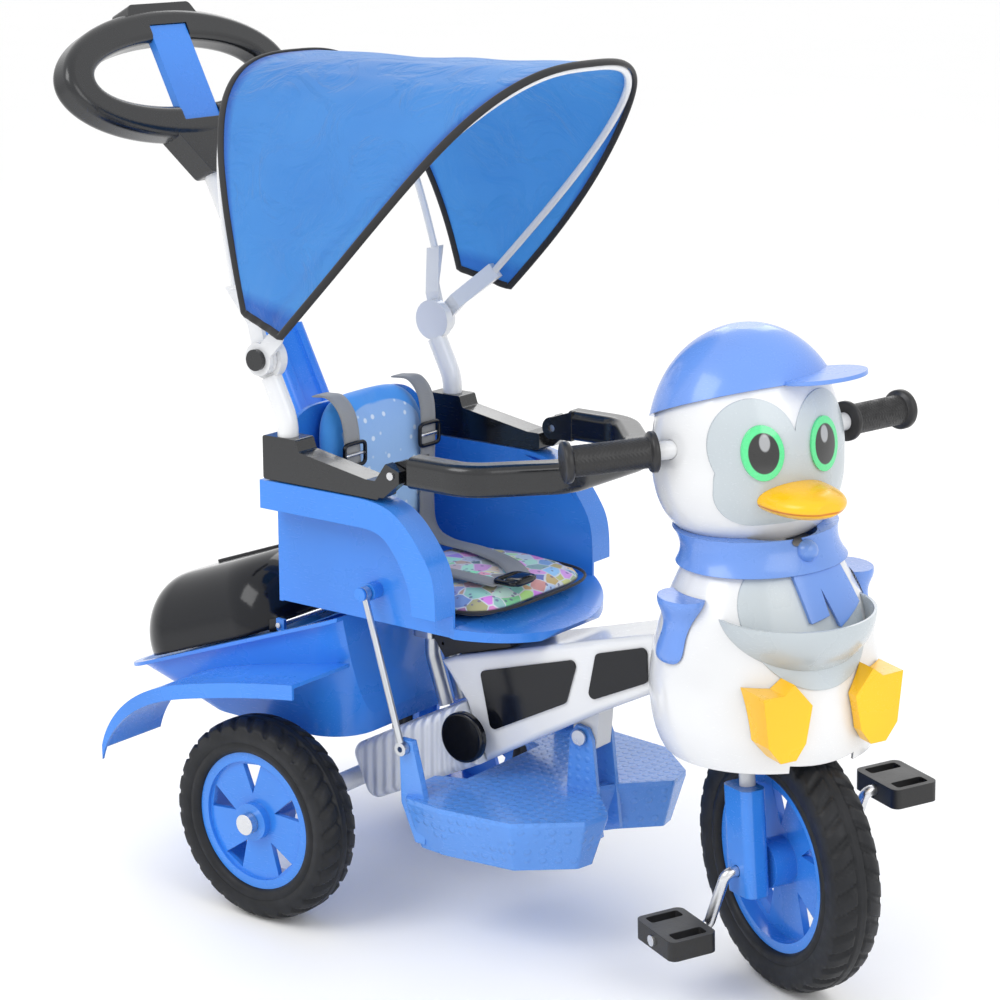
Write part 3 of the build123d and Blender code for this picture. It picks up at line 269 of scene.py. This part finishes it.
corrugated = plastic("ribbed_cover", (0.76, 0.79, 0.84), 0.3, 0.2)
ribs = corrugated.node("ShaderNodeTexWave", wave_type="BANDS", bands_direction="X")
corrugated.wire(corrugated.where, ribs.inputs["Vector"])
ribs.inputs["Scale"].default_value = 0.314 / 0.013
corrugated.set(Normal=corrugated.bump(ribs.outputs["Fac"], 0.9, 0.003, corrugated.soft_edges()))
corrugated = corrugated.material

dotted = plastic("tray_moulding", (0.090, 0.290, 0.79), 0.25, 0.35)
dots = dotted.span(dotted.cells(90.0, randomness=0.0), 0.25, 0.4, 1.0, 0.0)
dotted.set(Normal=dotted.bump(dots, 0.6, 0.0012, dotted.soft_edges()))
dotted = dotted.material

beak_shader = plastic("beak_moulding", (0.96, 0.53, 0.001), 0.26, 0.15)
_, beak_up = turned_places(beak_shader)
MOUTH_HEIGHT = 0.4965
off_mouth = beak_shader.math("ABSOLUTE", beak_shader.math("SUBTRACT", beak_up, MOUTH_HEIGHT))
# Mouth line: the bump below sinks a groove, and the darker orange painted along it is painted shade in that
# groove.
mouth_groove_painted_shade = beak_shader.span(off_mouth, 0.0004, 0.0016, 1.0, 0.0)
source = beak_shader.main.inputs["Base Color"].links[0].from_socket
beak_shader.set(Base_Color=beak_shader.mix(mouth_groove_painted_shade, source, (0.55, 0.16, 0.003)))
beak_shader.set(Normal=beak_shader.bump(mouth_groove_painted_shade, -0.8, 0.001, beak_shader.soft_edges()))
yellow_beak = beak_shader.material
yellow = plastic("yellow_moulding", (0.96, 0.53, 0.001), 0.28, 0.15).material

eye_shader = plastic("eye_print_and_painted_glint", (0.004, 0.004, 0.004), 0.08, 1.0)
eye_side, eye_up = turned_places(eye_shader)
EYE_SIDE, EYE_HEIGHT = 0.034, 0.546
EYE_HALF_WIDTH, EYE_HALF_HEIGHT = 0.019, 0.026
eye_side = eye_shader.math("SUBTRACT", eye_shader.math("ABSOLUTE", eye_side), EYE_SIDE)
across = eye_shader.math("DIVIDE", eye_side, EYE_HALF_WIDTH)
upward = eye_shader.math("DIVIDE", eye_shader.math("SUBTRACT", eye_up, EYE_HEIGHT), EYE_HALF_HEIGHT)
squares = [eye_shader.math("POWER", part, 2.0) for part in (across, upward)]
off_middle = eye_shader.math("SQRT", eye_shader.math("ADD", *squares))
ring = eye_shader.span(off_middle, 0.72, 0.76)
# Painted highlight: a soft pale glint painted into each eye's colour above its middle, besides the printed
# black and green rings.
glint_side = eye_shader.math("DIVIDE", eye_shader.math("SUBTRACT", across, -0.05), 0.25)
glint_up = eye_shader.math("DIVIDE", eye_shader.math("SUBTRACT", upward, 0.38), 0.3)
glint_off = eye_shader.math("ADD", *[eye_shader.math("POWER", part, 2.0) for part in (glint_side, glint_up)])
glint = eye_shader.math("MULTIPLY", eye_shader.span(glint_off, 0.8, 1.3, 1.0, 0.0), 0.55)
speckle = eye_shader.mix(eye_shader.noise(400.0), (0.05, 0.62, 0.2), (0.10, 0.72, 0.30))
pupil_and_painted_glint = eye_shader.mix(glint, (0.003, 0.003, 0.003), (0.6, 0.62, 0.65))
eye_base = eye_shader.mix(ring, pupil_and_painted_glint, speckle)
eye_shader.set(Base_Color=eye_base)
eye_print_and_painted_glint = eye_shader.material

rubber = Shader("tyre_rubber")
rubber.set(
    Specular_IOR_Level=0.3,
    Base_Color=rubber.mix(
        rubber.span(rubber.noise(40.0, 5.0), 0.3, 0.7), (0.006, 0.007, 0.009), (0.013, 0.014, 0.017)
    ),
    Roughness=rubber.span(rubber.noise(90.0, 4.0), 0.3, 0.7, 0.42, 0.58),
    Normal=rubber.bump(rubber.noise(900.0, 3.0), 0.2, 0.0004),
)
rubber = rubber.material
grip_rubber = Shader("grip_rubber")
grip_rubber.set(
    Base_Color=grip_rubber.mix(grip_rubber.noise(80.0, 4.0), (0.008, 0.008, 0.009), (0.018, 0.018, 0.019)),
    Roughness=grip_rubber.span(grip_rubber.noise(160.0), 0.3, 0.7, 0.32, 0.46),
    Normal=grip_rubber.bump(grip_rubber.noise(1400.0), 0.15, 0.0003),
)
grip_rubber = grip_rubber.material

LOOKS = (
    (blue, "rear_rim_right rear_rim_left front_rim seat_shell trunk_box fenders pole_cover"),
    (blue, "handle_panel fork_covers"),
    (periwinkle, "cap scarf mittens"),
    (white, "main_beam canopy_posts rear_bow front_bow penguin_body penguin_head"),
    (white_paint, "rear_frame head_tube push_pole fork handlebar"),
    (black, "handle_ring armrests guard_bar hub_buttons"),
    (black_gloss, "beam_inserts side_caps trunk_lid"),
    (black_matt, "seat_column pedal_right pedal_left"),
    (grey, "face_mask belly_pouch"),
    (silver, "rear_axle axle_nuts footrest_pin lid_hinge_pin guard_pins crank"),
    (rod_metal, "seat_struts footrest_rod_right footrest_rod_left"),
    (corrugated, "rear_cover"),
    (dotted, "footrest_tray"),
    (eye_print_and_painted_glint, "eyes"),
    (yellow_beak, "beak"),
    (yellow, "feet"),
)
for look, names in LOOKS:
    for node_name in names.split():
        piece = frame["nodes"][node_name]
        piece.data.materials.clear()
        piece.data.materials.append(look)


# ------------------------------------------------------------------ mesh helpers
def mesh_piece(name, points, faces, look, flat=None, level=0):
    """Smooth mesh from points and faces; flat gives each point its place on the uncut cloth."""
    mesh = bpy.data.meshes.new(name)
    mesh.from_pydata([tuple(p) for p in points], [], faces)
    mesh.update()
    made = bpy.data.objects.new(name, mesh)
    bpy.context.collection.objects.link(made)
    mesh.polygons.foreach_set("use_smooth", [True] * len(mesh.polygons))
    if flat is not None:
        layer = mesh.uv_layers.new(name="flat")
        for loop in mesh.loops:
            layer.data[loop.index].uv = flat[loop.vertex_index]
    mesh.materials.append(look)
    if level:
        made.modifiers.new("smooth", "SUBSURF").levels = level
        made.modifiers["smooth"].render_levels = level
    return made


def sheet_faces(rows, columns, round_rows=False, round_columns=False):
    """Quads of a grid of points, row by row, closed on itself where asked."""
    faces = []
    for r in range(rows if round_rows else rows - 1):
        for c in range(columns if round_columns else columns - 1):
            n, e = (r + 1) % rows, (c + 1) % columns
            faces.append((r * columns + c, r * columns + e, n * columns + e, n * columns + c))
    return faces


def smooth_line(points, steps):
    """Catmull-Rom line through the points."""
    pts = [Vector(p) for p in points]
    pts = [2 * pts[0] - pts[1]] + pts + [2 * pts[-1] - pts[-2]]
    line = []
    for i in range(1, len(pts) - 2):
        a, b, c, d = pts[i - 1:i + 3]
        for k in range(steps):
            t = k / steps
            square = (2 * a - 5 * b + 4 * c - d) * t * t
            cube = (3 * b - a - 3 * c + d) * t ** 3
            line.append(0.5 * (2 * b + (c - a) * t + square + cube))
    return line + [pts[-2]]


def strand(name, line, sides, look, closed=False, normals=None, level=0):
    """Closed strip along a line. sides are the section's points as (across, out) in metres."""
    points, flat, run = [], [], 0.0
    count = len(line)
    for i, spot in enumerate(line):
        before = line[i - 1] if (i or closed) else line[0]
        after = line[(i + 1) % count] if (i < count - 1 or closed) else line[-1]
        ahead = (after - before).normalized()
        out = Vector(normals[i]) if normals else Vector((0, 0, 1))
        across_way = ahead.cross(out).normalized()
        out = across_way.cross(ahead).normalized()
        if i:
            run += (spot - line[i - 1]).length
        for k, (w, h) in enumerate(sides):
            points.append(spot + across_way * w + out * h)
            flat.append((run, w))
    faces = sheet_faces(count, len(sides), closed, True)
    if not closed:
        faces.append(tuple(range(len(sides)))[::-1])
        faces.append(tuple((count - 1) * len(sides) + k for k in range(len(sides))))
    return mesh_piece(name, points, faces, look, flat, level)


def oval(width, height, count=12):
    """Section points of a flattened tube."""
    turns = [2 * math.pi * k / count for k in range(count)]
    return [(width * math.cos(a), height * math.sin(a)) for a in turns]


def signed_power(value, power):
    return math.copysign(abs(value) ** power, value)


def pillow_points(middle, half, squareness, around=64, up=24):
    """Closed crowned form. half is its three half-sizes; z is the crowned way."""
    points = []
    for j in range(up + 1):
        b = math.pi * (j / up - 0.5)
        ring = signed_power(math.cos(b), 0.4)
        for i in range(around):
            a = 2 * math.pi * i / around
            pull = 1 - 0.025 * math.cos(2 * a) ** 2
            points.append(Vector((
                middle[0] + half[0] * pull * ring * signed_power(math.cos(a), squareness),
                middle[1] + half[1] * pull * ring * signed_power(math.sin(a), squareness),
                middle[2] + half[2] * signed_power(math.sin(b), 0.9),
            )))
    return points, sheet_faces(up + 1, around, False, True)


SWELL_STEPS = 20


def swell(piece, cap, voxel=0.005, pressure=4.0):
    """Inflate a closed form as cloth, keep each point within cap of where it began, and smooth it."""
    bpy.context.view_layer.objects.active = piece
    remesh = piece.modifiers.new("remesh", "REMESH")
    remesh.mode = "VOXEL"
    remesh.voxel_size = voxel
    graph = bpy.context.evaluated_depsgraph_get()
    even = bpy.data.meshes.new_from_object(piece.evaluated_get(graph))
    piece.modifiers.clear()
    looks = list(piece.data.materials)
    piece.data = even
    piece.data.materials.clear()
    for look in looks:
        piece.data.materials.append(look)
    start = [v.co.copy() for v in piece.data.vertices]
    fabric = piece.modifiers.new("fabric", "CLOTH")
    fabric.settings.quality = 5
    fabric.settings.mass = 0.3
    fabric.settings.tension_stiffness = 15
    fabric.settings.compression_stiffness = 15
    fabric.settings.use_pressure = True
    fabric.settings.uniform_pressure_force = pressure
    fabric.settings.effector_weights.gravity = 0
    fabric.point_cache.frame_start = 1
    fabric.point_cache.frame_end = SWELL_STEPS
    for step in range(1, SWELL_STEPS + 1):
        bpy.context.scene.frame_set(step)
    graph = bpy.context.evaluated_depsgraph_get()
    swollen = [v.co.copy() for v in piece.evaluated_get(graph).data.vertices]
    piece.modifiers.clear()
    bpy.context.scene.frame_set(1)
    for vertex, was, now in zip(piece.data.vertices, start, swollen):
        moved = now - was
        if moved.length > cap:
            moved *= cap / moved.length
        vertex.co = was + moved
    piece.data.polygons.foreach_set("use_smooth", [True] * len(piece.data.polygons))
    soft = piece.modifiers.new("soft", "SUBSURF")
    soft.levels = soft.render_levels = 1
    return piece


# ------------------------------------------------------------------ canopy
# angle about the hubs, reach, half width and the hem's distance from the hubs
REAR_HOOP = (104.5, 305.5, 170.5, 62)
FRONT_HOOP = (45.0, 425.5, 183.5, 62)
# how far the hem's lower corners hang ahead of, below and outside the hoops' straight run
HEM_AHEAD, HEM_DROP, HEM_FLARE = 20.0, 8.0, 5.0
ROWS, COLUMNS = 40, 96
CLOTH_LONG, CLOTH_DEEP, HEM_WIDTH = 0.92, 0.38, 0.012
HUB_POINT = at(*HUB)


HEM_TUCK, TOP_SAG = 0.004, 3.0
WAVE, RIPPLE, PLEAT = 3.4, 1.3, 0.9


def canopy_point(along, share):
    """Spot of the cover: along runs rear to front, share from the left hem to the right hem."""
    ends = []
    for degrees, reach, half, foot in (REAR_HOOP, FRONT_HOOP):
        angle = math.radians(degrees)
        first = math.asin((foot / reach) ** 1.5) / math.pi
        turn = math.pi * (first + (1 - 2 * first) * share)
        outward = reach * math.sin(turn) ** (2 / 3)
        ends.append(Vector((
            HUB[0] + math.cos(angle) * outward,
            half * signed_power(math.cos(turn), 2 / 3),
            HUB[2] + math.sin(angle) * outward,
        )))
    slack = math.sin(math.pi * along)
    hanging = abs(math.cos(math.pi * share))
    spot = ends[0].lerp(ends[1], along)
    spot.y *= 1 - HEM_TUCK * slack * hanging
    spot.z -= TOP_SAG * slack * (1 - hanging)
    spot += Vector((HEM_AHEAD, 0, -HEM_DROP)) * hanging ** 5
    spot.y += math.copysign(HEM_FLARE, spot.y) * hanging ** 8
    fold = noise.noise(Vector((along * 5.0, share * 16.0, 2.0))) * WAVE
    fold += noise.noise(Vector((along * 2.0 + share * 3.0, share * 34.0, 7.0))) * RIPPLE
    fold += math.sin(share * 46 + along * 5) * PLEAT * hanging ** 2
    away = (spot - Vector(HUB)).normalized()
    spot += away * fold * slack ** 0.7
    return at(*spot)


canopy_shader = cloth("canopy_cloth", (0.058, 0.262, 0.640), (0.040, 0.205, 0.560), 0.0012, 0.55, 0.35)
hem = canopy_shader.node("ShaderNodeAttribute", attribute_name="hem").outputs["Fac"]
crease = canopy_shader.span(canopy_shader.noise(16.0, 6.0, distortion=1.5), 0.42, 0.62)
dye = canopy_shader.mix(hem, canopy_shader.base, (0.018, 0.110, 0.45))
canopy_shader.set(Base_Color=dye)
threads = canopy_shader.bump(canopy_shader.weave, 0.2, 0.0004)
canopy_shader.set(Normal=canopy_shader.bump(crease, 0.6, 0.004, threads))
through = canopy_shader.node("ShaderNodeBsdfTranslucent")
canopy_shader.wire(canopy_shader.mix(0.25, dye, (0.05, 0.4, 1.0)), through.inputs["Color"])
both = canopy_shader.node("ShaderNodeMixShader")
both.inputs[0].default_value = 0.38
canopy_shader.tree.links.new(canopy_shader.main.outputs[0], both.inputs[1])
canopy_shader.tree.links.new(through.outputs[0], both.inputs[2])
canopy_output = canopy_shader.tree.nodes["Material Output"]
canopy_shader.tree.links.new(both.outputs[0], canopy_output.inputs["Surface"])

points = [canopy_point(r / (ROWS - 1), c / (COLUMNS - 1)) for r in range(ROWS) for c in range(COLUMNS)]
flat = [
    (c / (COLUMNS - 1) * CLOTH_LONG, r / (ROWS - 1) * CLOTH_DEEP)
    for r in range(ROWS)
    for c in range(COLUMNS)
]
canopy = mesh_piece("canopy_cover", points, sheet_faces(ROWS, COLUMNS), canopy_shader.material, flat)
bands = canopy.data.attributes.new("hem", "FLOAT", "POINT")
for r in range(ROWS):
    for c in range(COLUMNS):
        along, share = r / (ROWS - 1), c / (COLUMNS - 1)
        edge = min(min(along, 1 - along) * CLOTH_DEEP, min(share, 1 - share) * CLOTH_LONG)
        bands.data[r * COLUMNS + c].value = 1.0 if edge < HEM_WIDTH else 0.0

binding_shader = cloth("binding_tape", (0.008, 0.008, 0.009), (0.016, 0.016, 0.018), 0.0009, 0.75, 0.2)
LONG_STEPS, SHORT_STEPS = 95, 24
edge_spots = [canopy_point(1.0, c / LONG_STEPS) for c in range(LONG_STEPS + 1)]
edge_spots += [canopy_point(1 - r / SHORT_STEPS, 1.0) for r in range(1, SHORT_STEPS + 1)]
edge_spots += [canopy_point(0.0, 1 - c / LONG_STEPS) for c in range(1, LONG_STEPS + 1)]
edge_spots += [canopy_point(r / SHORT_STEPS, 0.0) for r in range(1, SHORT_STEPS)]
hub_side = [(p - HUB_POINT).normalized() for p in edge_spots]
tape = oval(0.0042, 0.0022, 10)
binding = strand("canopy_binding", edge_spots, tape, binding_shader.material, True, hub_side)
# the cover hands over from the rear hoop to the front one along this way, square to its middle line
for piece in (canopy, binding):
    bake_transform(piece)
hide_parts("canopy_rear", "canopy_middle", "canopy_front")

# ------------------------------------------------------------------ cushions
seat_shader = Shader("seat_print")
patch_colour = seat_shader.cells(52.0, output="Color")
bright = seat_shader.node("ShaderNodeHueSaturation")
bright.inputs["Saturation"].default_value = 0.75
bright.inputs["Value"].default_value = 1.0
seat_shader.wire(patch_colour, bright.inputs["Color"])
border = seat_shader.span(seat_shader.cells(52.0, feature="DISTANCE_TO_EDGE"), 0.02, 0.05, 1.0, 0.0)
blobs = seat_shader.span(seat_shader.cells(120.0), 0.2, 0.26, 1.0, 0.0)
print_base = seat_shader.mix(border, bright.outputs["Color"], (0.75, 0.78, 0.82))
print_base = seat_shader.mix(seat_shader.math("MULTIPLY", blobs, 0.7), print_base, (0.12, 0.10, 0.30))
sides_only = seat_shader.span(seat_shader.dot((0, 0, 1)), 0.3455, 0.3475, 1.0, 0.0)
seat_shader.set(
    Base_Color=seat_shader.mix(sides_only, print_base, (0.02, 0.02, 0.025)),
    Roughness=seat_shader.span(seat_shader.noise(30.0), 0.3, 0.7, 0.5, 0.7),
    Sheen_Weight=0.2,
    Normal=seat_shader.bump(
        seat_shader.noise(1100.0, 2.0),
        0.25,
        0.0004,
        seat_shader.bump(seat_shader.noise(24.0, 4.0, distortion=1.0), 0.35, 0.003),
    ),
)
SEAT_X, SEAT_Z, SEAT_SQUARENESS = 138, 347, 0.55
points, faces = pillow_points(at(SEAT_X, 0, SEAT_Z), (0.092, 0.105, 0.0095), SEAT_SQUARENESS)
seat_pad = mesh_piece("seat_pad", points, faces, seat_shader.material)
swell(seat_pad, 0.0035, 0.004)
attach(seat_pad, "chassis")
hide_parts("seat_cushion")

piping_shader = cloth("piping_tape", (0.010, 0.010, 0.012), (0.02, 0.02, 0.022), 0.0008, 0.7, 0.2)
rim_line = []
for i in range(96):
    a = 2 * math.pi * i / 96
    ahead, left = signed_power(math.cos(a), SEAT_SQUARENESS), signed_power(math.sin(a), SEAT_SQUARENESS)
    rim_line.append(at(SEAT_X + 95.5 * ahead, 108 * left, SEAT_Z))
seat_piping = strand("seat_piping", rim_line, oval(0.0016, 0.0016, 8), piping_shader.material, True)
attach(seat_piping, "chassis")

back_shader = Shader("back_print")
side_off = back_shader.math("ABSOLUTE", back_shader.dot((0, 1, 0)))
height = back_shader.dot((0, 0, 1))
front_off = back_shader.dot((1, 0, 0), at(0, 0, 0))
bend = back_shader.math("POWER", back_shader.math("DIVIDE", side_off, 0.072), 3.0)
top_limit = back_shader.math("SUBTRACT", 0.522, back_shader.math("MULTIPLY", bend, 0.035))
in_side = back_shader.span(side_off, 0.0625, 0.064, 1.0, 0.0)
in_top = back_shader.span(back_shader.math("SUBTRACT", top_limit, height), 0.0, 0.0015)
in_front = back_shader.span(front_off, 0.008, 0.010)
panel = back_shader.math("MULTIPLY", in_side, back_shader.math("MULTIPLY", in_top, in_front))
sky = back_shader.mix(back_shader.span(height, 0.38, 0.53), (0.44, 0.66, 0.88), (0.24, 0.44, 0.80))
flakes = back_shader.span(back_shader.cells(75.0), 0.16, 0.24, 0.75, 0.0)
sky = back_shader.mix(flakes, sky, (0.85, 0.92, 0.97))
patchy = back_shader.span(back_shader.noise(9.0), 0.3, 0.7)
blue_side = back_shader.mix(patchy, (0.050, 0.34, 0.86), (0.035, 0.27, 0.76))
off_seam = back_shader.math("ABSOLUTE", back_shader.math("SUBTRACT", panel, 0.5))
seam = back_shader.span(off_seam, 0.3, 0.5, 1.0, 0.0)
puckered = back_shader.bump(
    back_shader.noise(30.0, 4.0, distortion=1.2), 0.3, 0.003, back_shader.bump(seam, -0.8, 0.002)
)
back_shader.set(
    Base_Color=back_shader.mix(panel, blue_side, sky),
    Roughness=0.62,
    Sheen_Weight=0.3,
    Normal=back_shader.bump(back_shader.noise(1000.0, 2.0), 0.25, 0.0004, puckered),
)
points, faces = pillow_points((0, 0, 0), (0.094, 0.088, 0.019), 0.5)
MIDDLE = at(3, 0, 442)
for p in points:
    up, side_way, out = p.x, p.y, p.z
    narrow = 1 - 0.16 * max(0.0, (up + 0.02) / 0.11) ** 2
    lean_back = -0.010 * max(0.0, up / 0.094) ** 2
    p.xyz = (MIDDLE.x + out + lean_back, side_way * narrow, MIDDLE.z + up)
back_pad = mesh_piece("back_pad", points, faces, back_shader.material)
swell(back_pad, 0.004, 0.005)
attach(back_pad, "chassis")
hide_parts("back_cushion")

# ------------------------------------------------------------------ harness
webbing = cloth("harness_webbing", (0.20, 0.205, 0.21), (0.30, 0.305, 0.31), 0.0016, 0.7, 0.2).material
WEB = [
    (-0.012, -0.0006), (-0.012, 0.0006), (-0.006, 0.0009), (0.006, 0.0009),
    (0.012, 0.0006), (0.012, -0.0006), (0, -0.0009),
]
for side, sign in (("right", -1), ("left", 1)):
    route = [
        at(-14, sign * 64, 536), at(10, sign * 65, 535), at(26, sign * 64, 512), at(28.5, sign * 62, 460),
        at(28.5, sign * 60, 410), at(34, sign * 57, 378), at(58, sign * 52, 366), at(110, sign * 44, 365.5),
        at(165, sign * 34 - 12, 366), at(205, sign * 18 - 26, 364.5),
    ]
    facing = [
        (-0.3, 0, 1), (0.4, 0, 1), (1, 0, 0.4), (1, 0, 0), (1, 0, 0.1), (0.8, 0, 0.7), (0.1, 0, 1),
        (0, 0, 1), (0, 0, 1), (0, 0, 1),
    ]
    line = smooth_line(route, 10)
    facing = smooth_line(facing, 10)
    strap = strand(f"strap_{side}", line, WEB, webbing, False, facing)
    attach(strap, "chassis")
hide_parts("harness_straps")


def frame_loop(name, middle, along, across_way, half_long, half_wide, thick, look):
    """Rounded rectangular loop of moulded bar."""
    line = []
    for i in range(48):
        a = 2 * math.pi * i / 48
        up, side = signed_power(math.cos(a), 0.35), signed_power(math.sin(a), 0.35)
        line.append(middle + along * half_long * up + across_way * half_wide * side)
    out = along.cross(across_way)
    return strand(name, line, oval(thick, thick, 10), look, True, [out] * len(line))


FORWARD, LEFTWARD, UPWARD = Vector((1, 0, 0)), Vector((0, 1, 0)), Vector((0, 0, 1))
buckles = []
for side, sign in (("right", -1), ("left", 1)):
    middle = at(31, sign * 62, 478)
    loop = frame_loop(f"adjuster_{side}", middle, UPWARD, LEFTWARD, 0.012, 0.0165, 0.0022, black_gloss)
    bar_line = [middle + LEFTWARD * t / 1000 for t in range(-15, 16, 5)]
    bar = strand(f"adjuster_bar_{side}", bar_line, oval(0.0018, 0.0018, 8), silver)
    buckles += [loop, bar]
clasp = frame_loop("clasp", at(214, -30, 368), FORWARD, LEFTWARD, 0.013, 0.019, 0.0026, black_gloss)
points, faces = pillow_points(at(220, -30, 368), (0.010, 0.0175, 0.0045), 0.5, 48, 16)
tongue = mesh_piece("clasp_tongue", points, faces, black_gloss)
buckles += [clasp, tongue]
for piece in buckles:
    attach(piece, "chassis")
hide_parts("harness_buckles")


# ------------------------------------------------------------------ tyres
def tyre_piece(name, body, radius, bore, centre, turned, blocks):
    """Tyre with slanted shoulder blocks, a middle rib and a ring round each side wall."""
    half = 25.0
    side = [(19.0, bore - 0.5), (23.0, bore + 1.5), (24.6, bore + 5), (25.0, bore + 9), (23.8, bore + 10.2),
            (23.8, bore + 11.4), (25.0, bore + 12.6), (25.0, radius - 14), (24.6, radius - 9)]
    tread = []
    for k in range(29):
        y = 24.0 - 48.0 * k / 28
        tread.append((y, radius - 6.5 * abs(y / 24.0) ** 3.2))
    profile = side + tread + [(-y, r) for y, r in reversed(side)]
    around = blocks * 10
    points = []
    for i in range(around):
        a = 2 * math.pi * i / around
        for y, r in profile:
            depth = 0.0
            if r > radius - 7.5 and abs(y) < 24.5:
                slant = (i / 10 + 0.75 * abs(y) / half + (0.5 if y > 0 else 0)) % 1.0
                if slant < 0.3 and abs(y) > 4.0:
                    depth = 2.8
                elif 4.0 <= abs(y) < 6.0:
                    depth = 1.8
            r -= depth
            local = Vector((r * math.cos(a), y, r * math.sin(a))) / 1000
            points.append(centre + (TURN @ local if turned else local))
    made = mesh_piece(name, points, sheet_faces(around, len(profile), True, True), rubber)
    made.data.polygons.foreach_set("use_smooth", [False] * len(made.data.polygons))
    made.data.shade_smooth()
    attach(made, body)
    return made


for side, sign in (("right", -1), ("left", 1)):
    centre = at(0, sign * 177.5, REAR_RADIUS)
    tyre = tyre_piece(f"tread_rear_{side}", f"rear_wheel_{side[0]}", REAR_RADIUS, 74.0, centre, False, 30)
    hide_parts(f"rear_tyre_{side}")
tyre = tyre_piece("tread_front", "front_wheel", FRONT_RADIUS, 90.0, STEER_POINT, True, 36)
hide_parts("front_tyre")

# ------------------------------------------------------------------ grips
BAR_SWEEP, BAR_DROP = math.radians(15.4), math.radians(2.4)
bar_middle = Vector(FRONT_CENTRE) + Vector((-math.tan(RAKE), 0, 1)) * 417
for side, sign in (("right", -1), ("left", 1)):
    way = Vector((-math.sin(BAR_SWEEP), sign * math.cos(BAR_SWEEP), -math.sin(BAR_DROP))).normalized()
    first = way.cross(Vector((0, 0, 1))).normalized()
    second = way.cross(first)
    points, count, start, end = [], 72, 110.0, 200.0
    stations = [(start, 9.2), (start, 18.6), (start + 1, 19.8)]
    stations += [(start + 5, 19.8), (start + 6.5, 18.6), (start + 7.5, 15.2)]
    length = end - start
    stations += [(start + 8 + (length - 17) * k / 90, None) for k in range(91)]
    stations += [(end - 8.5, 15.2), (end - 7.5, 18.6), (end - 6, 19.9), (end - 1, 19.9), (end, 18.8)]
    stations += [(end + 0.2, 8.0), (end + 0.3, 0.6)]
    for distance, r in stations:
        for i in range(count):
            a = 2 * math.pi * i / count
            here = r
            if here is None:
                one = (a * 15 / 4.2 + distance / 4.2) % 1.0
                two = (a * 15 / 4.2 - distance / 4.2) % 1.0
                cut = min(abs(one - 0.5), abs(two - 0.5))
                here = 15.0 - 0.9 * max(0.0, 1 - cut / 0.18)
            spot = bar_middle + way * distance + (first * math.cos(a) + second * math.sin(a)) * here
            points.append(steered(*spot))
    grip = mesh_piece(f"grip_{side}", points, sheet_faces(len(stations), count, False, True), grip_rubber)
    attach(grip, "steering")
    if side == "right":
        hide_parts("grips")

# ------------------------------------------------------------------ studio
floor_shader = Shader("studio_floor")
floor_shader.set(
    Base_Color=floor_shader.mix(floor_shader.noise(2.0), (0.95, 0.95, 0.95), (0.97, 0.97, 0.97)),
    Roughness=floor_shader.span(floor_shader.noise(8.0), 0.3, 0.7, 0.5, 0.6),
)
FLOOR_HALF = 30
corners = [(a * FLOOR_HALF, b * FLOOR_HALF, 0) for a, b in ((-1, -1), (1, -1), (1, 1), (-1, 1))]
floor = mesh_piece("floor", corners, [(0, 1, 2, 3)], floor_shader.material)
world = bpy.data.worlds.new("studio")
bpy.context.scene.world = world
world.use_nodes = True
world.node_tree.nodes["Background"].inputs["Color"].default_value = (1.0, 1.0, 1.0, 1.0)
world.node_tree.nodes["Background"].inputs["Strength"].default_value = 1.04


def soft_light(name, place, aim, size, watts):
    """Square area lamp of the given size, aimed at a spot."""
    data = bpy.data.lights.new(name, "AREA")
    data.size = size
    data.energy = watts
    lamp = bpy.data.objects.new(name, data)
    bpy.context.collection.objects.link(lamp)
    lamp.location = place
    lamp.rotation_mode = "QUATERNION"
    lamp.rotation_quaternion = (Vector(aim) - Vector(place)).to_track_quat("-Z", "Y")


soft_light("key", (-0.6, -2.2, 2.6), (0, 0, 0.4), 1.6, 32)
soft_light("fill", (2.6, -0.6, 1.8), (0, 0, 0.4), 1.8, 18)
soft_light("back", (-1.2, 2.4, 2.2), (0, 0, 0.5), 1.5, 14)
